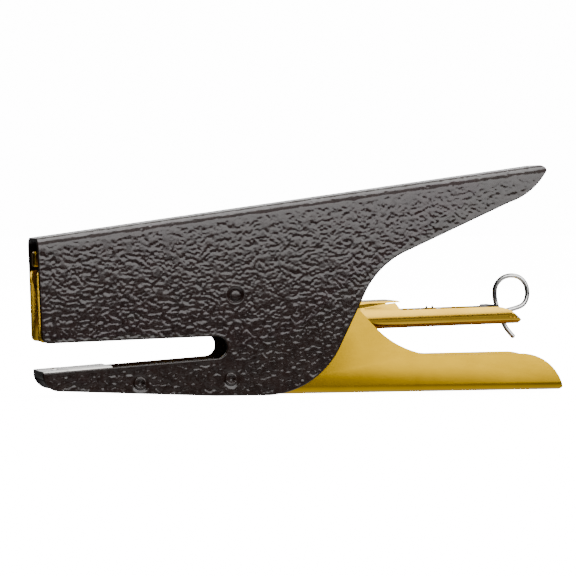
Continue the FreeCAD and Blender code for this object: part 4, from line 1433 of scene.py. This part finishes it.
# ---------------------------------------------------------------- follower
@dataclass
class Follower:
    """Pull-out follower: rod, collars, end block, ring wire and pusher."""

    wire: float = 0.7 * MM
    ring_radius: float = 4.7 * MM
    eye_back: float = 5.3 * MM
    eye_lift: float = 6.0 * MM
    side_step: float = 0.775 * MM
    pusher_cut: float = 1.6 * MM
    block_corner: float = 2.1 * MM
    collar_round: float = 0.14 * MM
    edge: float = 0.14 * MM

    def build(self, place: MagazineFrame) -> None:
        """Make every part that comes out with the follower.

        Args:
            place: directions and origin of the magazine.
        """
        self.place = place
        self._rod()
        self._collars()
        self._block()
        self._ring()
        self._pusher()

    def _axis_height(self) -> float:
        """Height of the rod's axis in the magazine."""
        return sum(self.place.heights("spring_stop")) / 2

    def _rod(self) -> None:
        """Draw the straight rod."""
        start, end = self.place.span("follower_rod")
        height = self._axis_height()
        points = [self.place.point(start + (end - start) * step / 24, height) for step in range(25)]
        settle(tube("follower_wire", points, self.wire, 20), Body.FOLLOWER, Slot.NICKEL, ["follower_rod"])

    def _collars(self) -> None:
        """Turn the collars at the rod's tip and behind the spring."""
        for node, name in (("rod_tip", "tip_collar"), ("spring_stop", "stop_collar")):
            start, end = self.place.span(node)
            low, high = extent(node, self.place.v)
            radius, half = (high - low) / 2, (end - start) / 2
            side = [(half - self.collar_round, radius), (half, radius - self.collar_round),
                    (half, self.wire * 0.9), (half - self.collar_round, 0.0)]
            centre = self.place.point((start + end) / 2, self._axis_height())
            settle(lathe(name, both_ends(side), centre, self.place.u, 36), Body.FOLLOWER, Slot.NICKEL, [node])

    def _block(self) -> None:
        """Round the moulded end block's corners to the tail's section."""
        bm = merged("end_block")
        slice_along(bm, self.place.origin, self.place.v, [value * MM for value in (1.2, 1.6, 2.0, 2.4, 2.8)])
        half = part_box("end_block")[1].y
        corner, low = self.block_corner, self.place.heights("end_block")[0]
        for vertex in bm.verts:
            u, v = self.place.flat(vertex.co)
            side, down = abs(vertex.co.y) - (half - corner), low + corner - v
            if side > 0.0 and down > 0.0 and math.hypot(side, down) > corner:
                factor = corner / math.hypot(side, down)
                across = half - corner + side * factor
                vertex.co = self.place.point(u, low + corner - down * factor,
                                             math.copysign(across, vertex.co.y))
            vertex.co.y *= 1.0 - self.place.lean(v) / half
        piece = soften(mesh_from(bm, "tail_block"), self.edge)
        settle(piece, Body.FOLLOWER, Slot.NYLON, ["end_block"])

    def _pusher(self) -> None:
        """Cut the pusher's lower corners to clear the tail's wide fold."""
        bm = merged("pusher")
        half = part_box("pusher")[1].y
        low = self.place.heights("pusher")[0]
        for sign in (1.0, -1.0):
            normal = (Vector((0.0, sign, 0.0)) - self.place.v).normalized()
            cut = bmesh.ops.bisect_plane(bm, geom=[*bm.verts, *bm.edges, *bm.faces], dist=1e-7,
                                         plane_co=self.place.point(0.0, low + self.pusher_cut, sign * half),
                                         plane_no=normal, clear_outer=True)
            rim = [item for item in cut["geom_cut"] if isinstance(item, bmesh.types.BMEdge)]
            bmesh.ops.edgeloop_fill(bm, edges=rim)
        piece = soften(mesh_from(bm, "pusher_saddle"), self.edge * 0.6)
        settle(piece, Body.PUSHER, Slot.ZINC, ["pusher"])

    def _ring(self) -> None:
        """Bend the ring: out of the block, round the eye and down beside its own root."""
        end = self.place.span("end_block")[1]
        root = self._axis_height()
        eye_u, eye_v = end + self.eye_back, root + self.eye_lift
        reach, side = self.ring_radius, self.side_step
        eye = [(eye_u + reach * out, eye_v + reach * up, side * over) for out, up, over in (
            (0.78, -0.82, -1.0), (1.05, -0.28, -1.0), (0.98, 0.48, -1.0), (0.45, 1.02, -1.0),
            (-0.40, 1.04, -0.3), (-0.98, 0.50, 0.5), (-1.03, -0.28, 1.0), (-0.86, -1.0, 1.0))]
        stations = [
            (end - 0.6 * MM, root, -side), (end + 1.2 * MM, root + 0.1 * MM, -side),
            (eye_u - 1.2 * MM, root + 0.75 * MM, -side), (eye_u + 1.4 * MM, root + 1.3 * MM, -side), *eye,
            (eye_u - 2.5 * MM, root - 2.6 * MM, side), (eye_u - 1.3 * MM, root - 5.1 * MM, side),
            (eye_u + 0.9 * MM, root - 7.5 * MM, side),
        ]
        points = smooth_line([self.place.point(u, v, y) for u, v, y in stations], 14)
        settle(tube("ring_wire", points, self.wire, 28), Body.FOLLOWER, Slot.NICKEL, ["ring_clip"])


# ---------------------------------------------------------------- springs
@dataclass
class Springs:
    """Wound wire springs: pusher spring, clamp spring and return spring."""

    pusher_wire: float = 0.22 * MM
    pusher_pitch: float = 1.95 * MM
    pusher_closing: float = 0.08
    clamp_wire: float = 0.38 * MM
    clamp_turns: float = 5.0
    clamp_closing: float = 0.55
    clamp_keep: float = 0.60
    return_wire: float = 0.45 * MM
    return_turns: int = 4
    return_radius: float = 3.1 * MM
    front_leg_height: float = 35.05 * MM
    proud_x: float = 40.2 * MM
    proud_reach: float = 2.4 * MM
    proud_ease: float = 0.8 * MM
    proud_lift: float = 0.85 * MM

    def build(self, place: MagazineFrame) -> None:
        """Wind all three springs.

        Args:
            place: directions and origin of the magazine.
        """
        self.place = place
        self.coil = coil_tree()
        self._pusher_spring()
        self._clamp_spring()
        self._return_spring()

    def _wind(self, name: str, slot: Slot, **values: float) -> Object:
        """Run the coil tree with these sizes."""
        named = {key.replace("_", " ").title(): value for key, value in values.items()}
        return grow(name, self.coil, {**named, "Material": finish_of(slot)})

    def _pusher_spring(self) -> None:
        """Wind the long spring round the follower rod; two turns ride up over the wall."""
        (start, end), (low, high) = self.place.span("pusher_spring"), self.place.heights("pusher_spring")
        radius, length = (high - low) / 2 - self.pusher_wire, end - start - 2 * self.pusher_wire
        spring = self._wind("pusher_coil", Slot.SPRING, coil_radius=radius, wire_radius=self.pusher_wire,
                            turns=length / self.pusher_pitch, height=length, end_closing=self.pusher_closing,
                            wire_sides=8, steps_per_turn=22)
        centre = self.place.point(start + self.pusher_wire, (low + high) / 2)
        turn = Matrix((self.place.v.cross(self.place.u), self.place.v, self.place.u)).transposed()
        spring.data.transform(Matrix.Translation(centre) @ turn.to_4x4())
        for vertex in spring.data.vertices:
            inside = self.proud_reach - abs(vertex.co.x - self.proud_x)
            vertex.co += self.place.v * (self.proud_lift * eased(inside / self.proud_ease))
        settle(spring, Body.FOLLOWER, Slot.SPRING, ["pusher_spring"])
        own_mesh(spring)

    def _clamp_spring(self) -> None:
        """Wind the spring between the cover and the lever's bridge."""
        low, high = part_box("clamp_spring")
        centre, radius = (low + high) / 2, (high.x - low.x) / 2 - self.clamp_wire
        height = high.z - low.z - 2 * self.clamp_wire
        spring = self._wind("clamp_coil", Slot.SPRING, coil_radius=radius, wire_radius=self.clamp_wire,
                            turns=self.clamp_turns, height=height, end_closing=self.clamp_closing,
                            wire_sides=12, steps_per_turn=36)
        spring.data.transform(Matrix.Translation((centre.x, centre.y, low.z + self.clamp_wire)))
        settle(spring, Body.MAGAZINE, Slot.SPRING, ["clamp_spring"])
        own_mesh(spring)

    def _return_spring(self) -> None:
        """Wind the torsion spring: coil and rear leg stay with the body, the front leg with the lever."""
        low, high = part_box("return_spring")
        pivot = Vector(joint("lever_squeeze")["pos_m"])
        wire = self.return_wire
        coil_half = high.y - wire
        mean = self.return_radius - wire
        front_end = Vector((low.x + wire, 0.0, self.front_leg_height))
        rear_end = Vector((high.x - wire, 0.0, high.z - wire))
        front_angle = self._leg_angle(front_end - pivot, mean, -1.0)
        rear_angle = self._leg_angle(rear_end - pivot, mean, 1.0)
        sweep = (front_angle - rear_angle) % math.tau + math.tau * (self.return_turns - 1)
        steps = 40 * self.return_turns
        points = []
        for number in range(steps + 1):
            share = number / steps
            angle = front_angle - sweep * share
            spoke = Vector((math.cos(angle), 0.0, math.sin(angle))) * mean
            points.append(pivot + spoke + Vector((0.0, coil_half * (2.0 * share - 1.0), 0.0)))
        run = rear_end + Vector((0.0, coil_half, 0.0)) - points[-1]
        coil = points + [points[-1] + run * (number / 10) for number in range(1, 11)]
        settle(tube("return_coil", coil, wire, 12), Body.FRAME, Slot.SPRING, ["return_spring"])
        run = front_end - Vector((0.0, coil_half, 0.0)) - points[0]
        leg = [points[0] + run * (number / 10) for number in range(11)]
        settle(tube("return_leg", leg, wire * 0.98, 12), Body.LEVER, Slot.SPRING)

    @staticmethod
    def _leg_angle(target: Vector, mean: float, lean: float) -> float:
        """Angle on the coil where a leg that reaches the target leaves it."""
        return math.atan2(target.z, target.x) + lean * math.acos(mean / math.hypot(target.x, target.z))


# ---------------------------------------------------------------- studio
@dataclass
class Studio:
    """Pale floor, soft lights and the camera."""

    target: Vector = field(default_factory=lambda: Vector((-0.00297, 0.0, 0.03063)))
    azimuth: float = math.radians(-12.4)
    elevation: float = math.radians(1.2)
    distance: float = 1.030
    lens: float = 222.1
    floor_size: float = 14.0
    backdrop: float = 15.0
    floor_drop: float = 0.05 * MM
    greys: tuple[tuple[float, float], ...] = (
        (0.0, 1.1), (0.15, 0.85), (0.26, 0.25), (0.40, 0.04), (0.55, 0.03), (0.68, 0.25), (1.0, 1.0))
    dim_start: float = -0.85
    dim_end: float = -0.25
    dimmest: float = 0.06

    def build(self) -> None:
        """Set up floor, world, lights and camera."""
        self._floor()
        self._world()
        self._lights()
        self._camera()

    def _floor(self) -> None:
        """Lay the pale floor just under the object."""
        bm = bmesh.new()
        bmesh.ops.create_grid(bm, x_segments=2, y_segments=2, size=self.floor_size / 2)
        bmesh.ops.translate(bm, verts=bm.verts, vec=(0.0, 0.0, CAD_LOW.z - self.floor_drop))
        floor = mesh_from(bm, "studio_floor")
        shader = Shader("pale_floor")
        shader.set(Base_Color=(0.86, 0.86, 0.86, 1.0), Roughness=0.9, Emission_Color=WHITE,
                   Emission_Strength=self.backdrop)
        floor.data.materials.append(shader.material)
        floor.visible_glossy = False
        floor.visible_diffuse = False

    def _world(self) -> None:
        """Paint the surroundings by height: bright overhead, dim at the horizon, pale below."""
        world = bpy.data.worlds.new("studio")
        bpy.context.scene.world = world
        world.use_nodes = True
        bench = NodeBench(world.node_tree)
        back = bench.first("BACKGROUND")
        way = bench.add("ShaderNodeTexCoord").outputs["Generated"]
        parts = bench.add("ShaderNodeSeparateXYZ", {"Vector": way}).outputs
        height = bench.add("ShaderNodeMapRange", {"Value": parts["Z"], "From Min": -1.0})
        ramp = bench.add("ShaderNodeValToRGB", {"Fac": height.outputs["Result"]})
        while len(ramp.color_ramp.elements) < len(self.greys):
            ramp.color_ramp.elements.new(0.5)
        for element, (place, grey) in zip(ramp.color_ramp.elements, self.greys):
            element.position = place
            element.color = (grey, grey, grey, 1.0)
        side = bench.add("ShaderNodeMapRange", {
            "Value": parts["X"], "From Min": self.dim_start, "From Max": self.dim_end,
            "To Min": self.dimmest, "To Max": 1.0})
        bench.feed(back.inputs["Color"], ramp.outputs["Color"])
        bench.feed(back.inputs["Strength"], side.outputs["Result"])
        pale = bench.add("ShaderNodeBackground", {"Color": WHITE, "Strength": self.backdrop})
        seen = bench.add("ShaderNodeLightPath").outputs["Is Camera Ray"]
        mix = bench.add("ShaderNodeMixShader", {
            "Fac": seen, 1: back.outputs["Background"], 2: pale.outputs["Background"]})
        bench.feed(bench.first("OUTPUT_WORLD").inputs["Surface"], mix.outputs["Shader"])

    def _light(self, name: str, place: Vector, size: tuple[float, float], power: float) -> None:
        """Hang one soft box that looks at the object.

        Args:
            name: name of the light.
            place: where it hangs.
            size: width and height.
            power: watts.
        """
        data = bpy.data.lights.new(name, "AREA")
        data.shape = "RECTANGLE"
        data.size, data.size_y = size
        data.energy = power
        light = bpy.data.objects.new(name, data)
        bpy.context.scene.collection.objects.link(light)
        light.location = place
        light.rotation_mode = "QUATERNION"
        light.rotation_quaternion = (place - self.target).to_track_quat("Z", "Y")
        light.visible_camera = False

    def _lights(self) -> None:
        """Front, overhead, low and rear soft boxes."""
        self._light("front_box", Vector((0.36, -1.25, 0.50)), (1.5, 0.9), 17.0)
        self._light("top_box", Vector((0.0, 0.05, 1.2)), (1.2, 0.8), 14.0)
        self._light("low_box", Vector((0.25, -1.3, -0.45)), (1.0, 0.25), 0.35)
        self._light("rear_box", Vector((0.3, 1.3, 0.6)), (1.3, 0.8), 6.0)

    def _camera(self) -> None:
        """Place the camera at the viewing angle."""
        data = bpy.data.cameras.new("camera")
        data.lens = self.lens
        data.sensor_width = 36.0
        data.clip_start, data.clip_end = 0.02, 30.0
        camera = bpy.data.objects.new("camera", data)
        bpy.context.scene.collection.objects.link(camera)
        back = Vector((math.sin(self.azimuth) * math.cos(self.elevation),
                       -math.cos(self.azimuth) * math.cos(self.elevation), math.sin(self.elevation)))
        camera.location = self.target + back * self.distance
        camera.rotation_mode = "QUATERNION"
        camera.rotation_quaternion = back.to_track_quat("Z", "Y")
        bpy.context.scene.camera = camera


def main() -> None:
    """Build the studio and every sub-assembly."""
    logging.basicConfig(level=logging.INFO, format="%(name)s: %(message)s")
    Studio().build()
    BodyShell().build()
    JawFasteners().build()
    LowerJaw().build()
    Lever().build()
    place = MagazineFrame()
    Magazine().build(place)
    Follower().build(place)
    Springs().build(place)


if __name__ == "__main__":
    main()
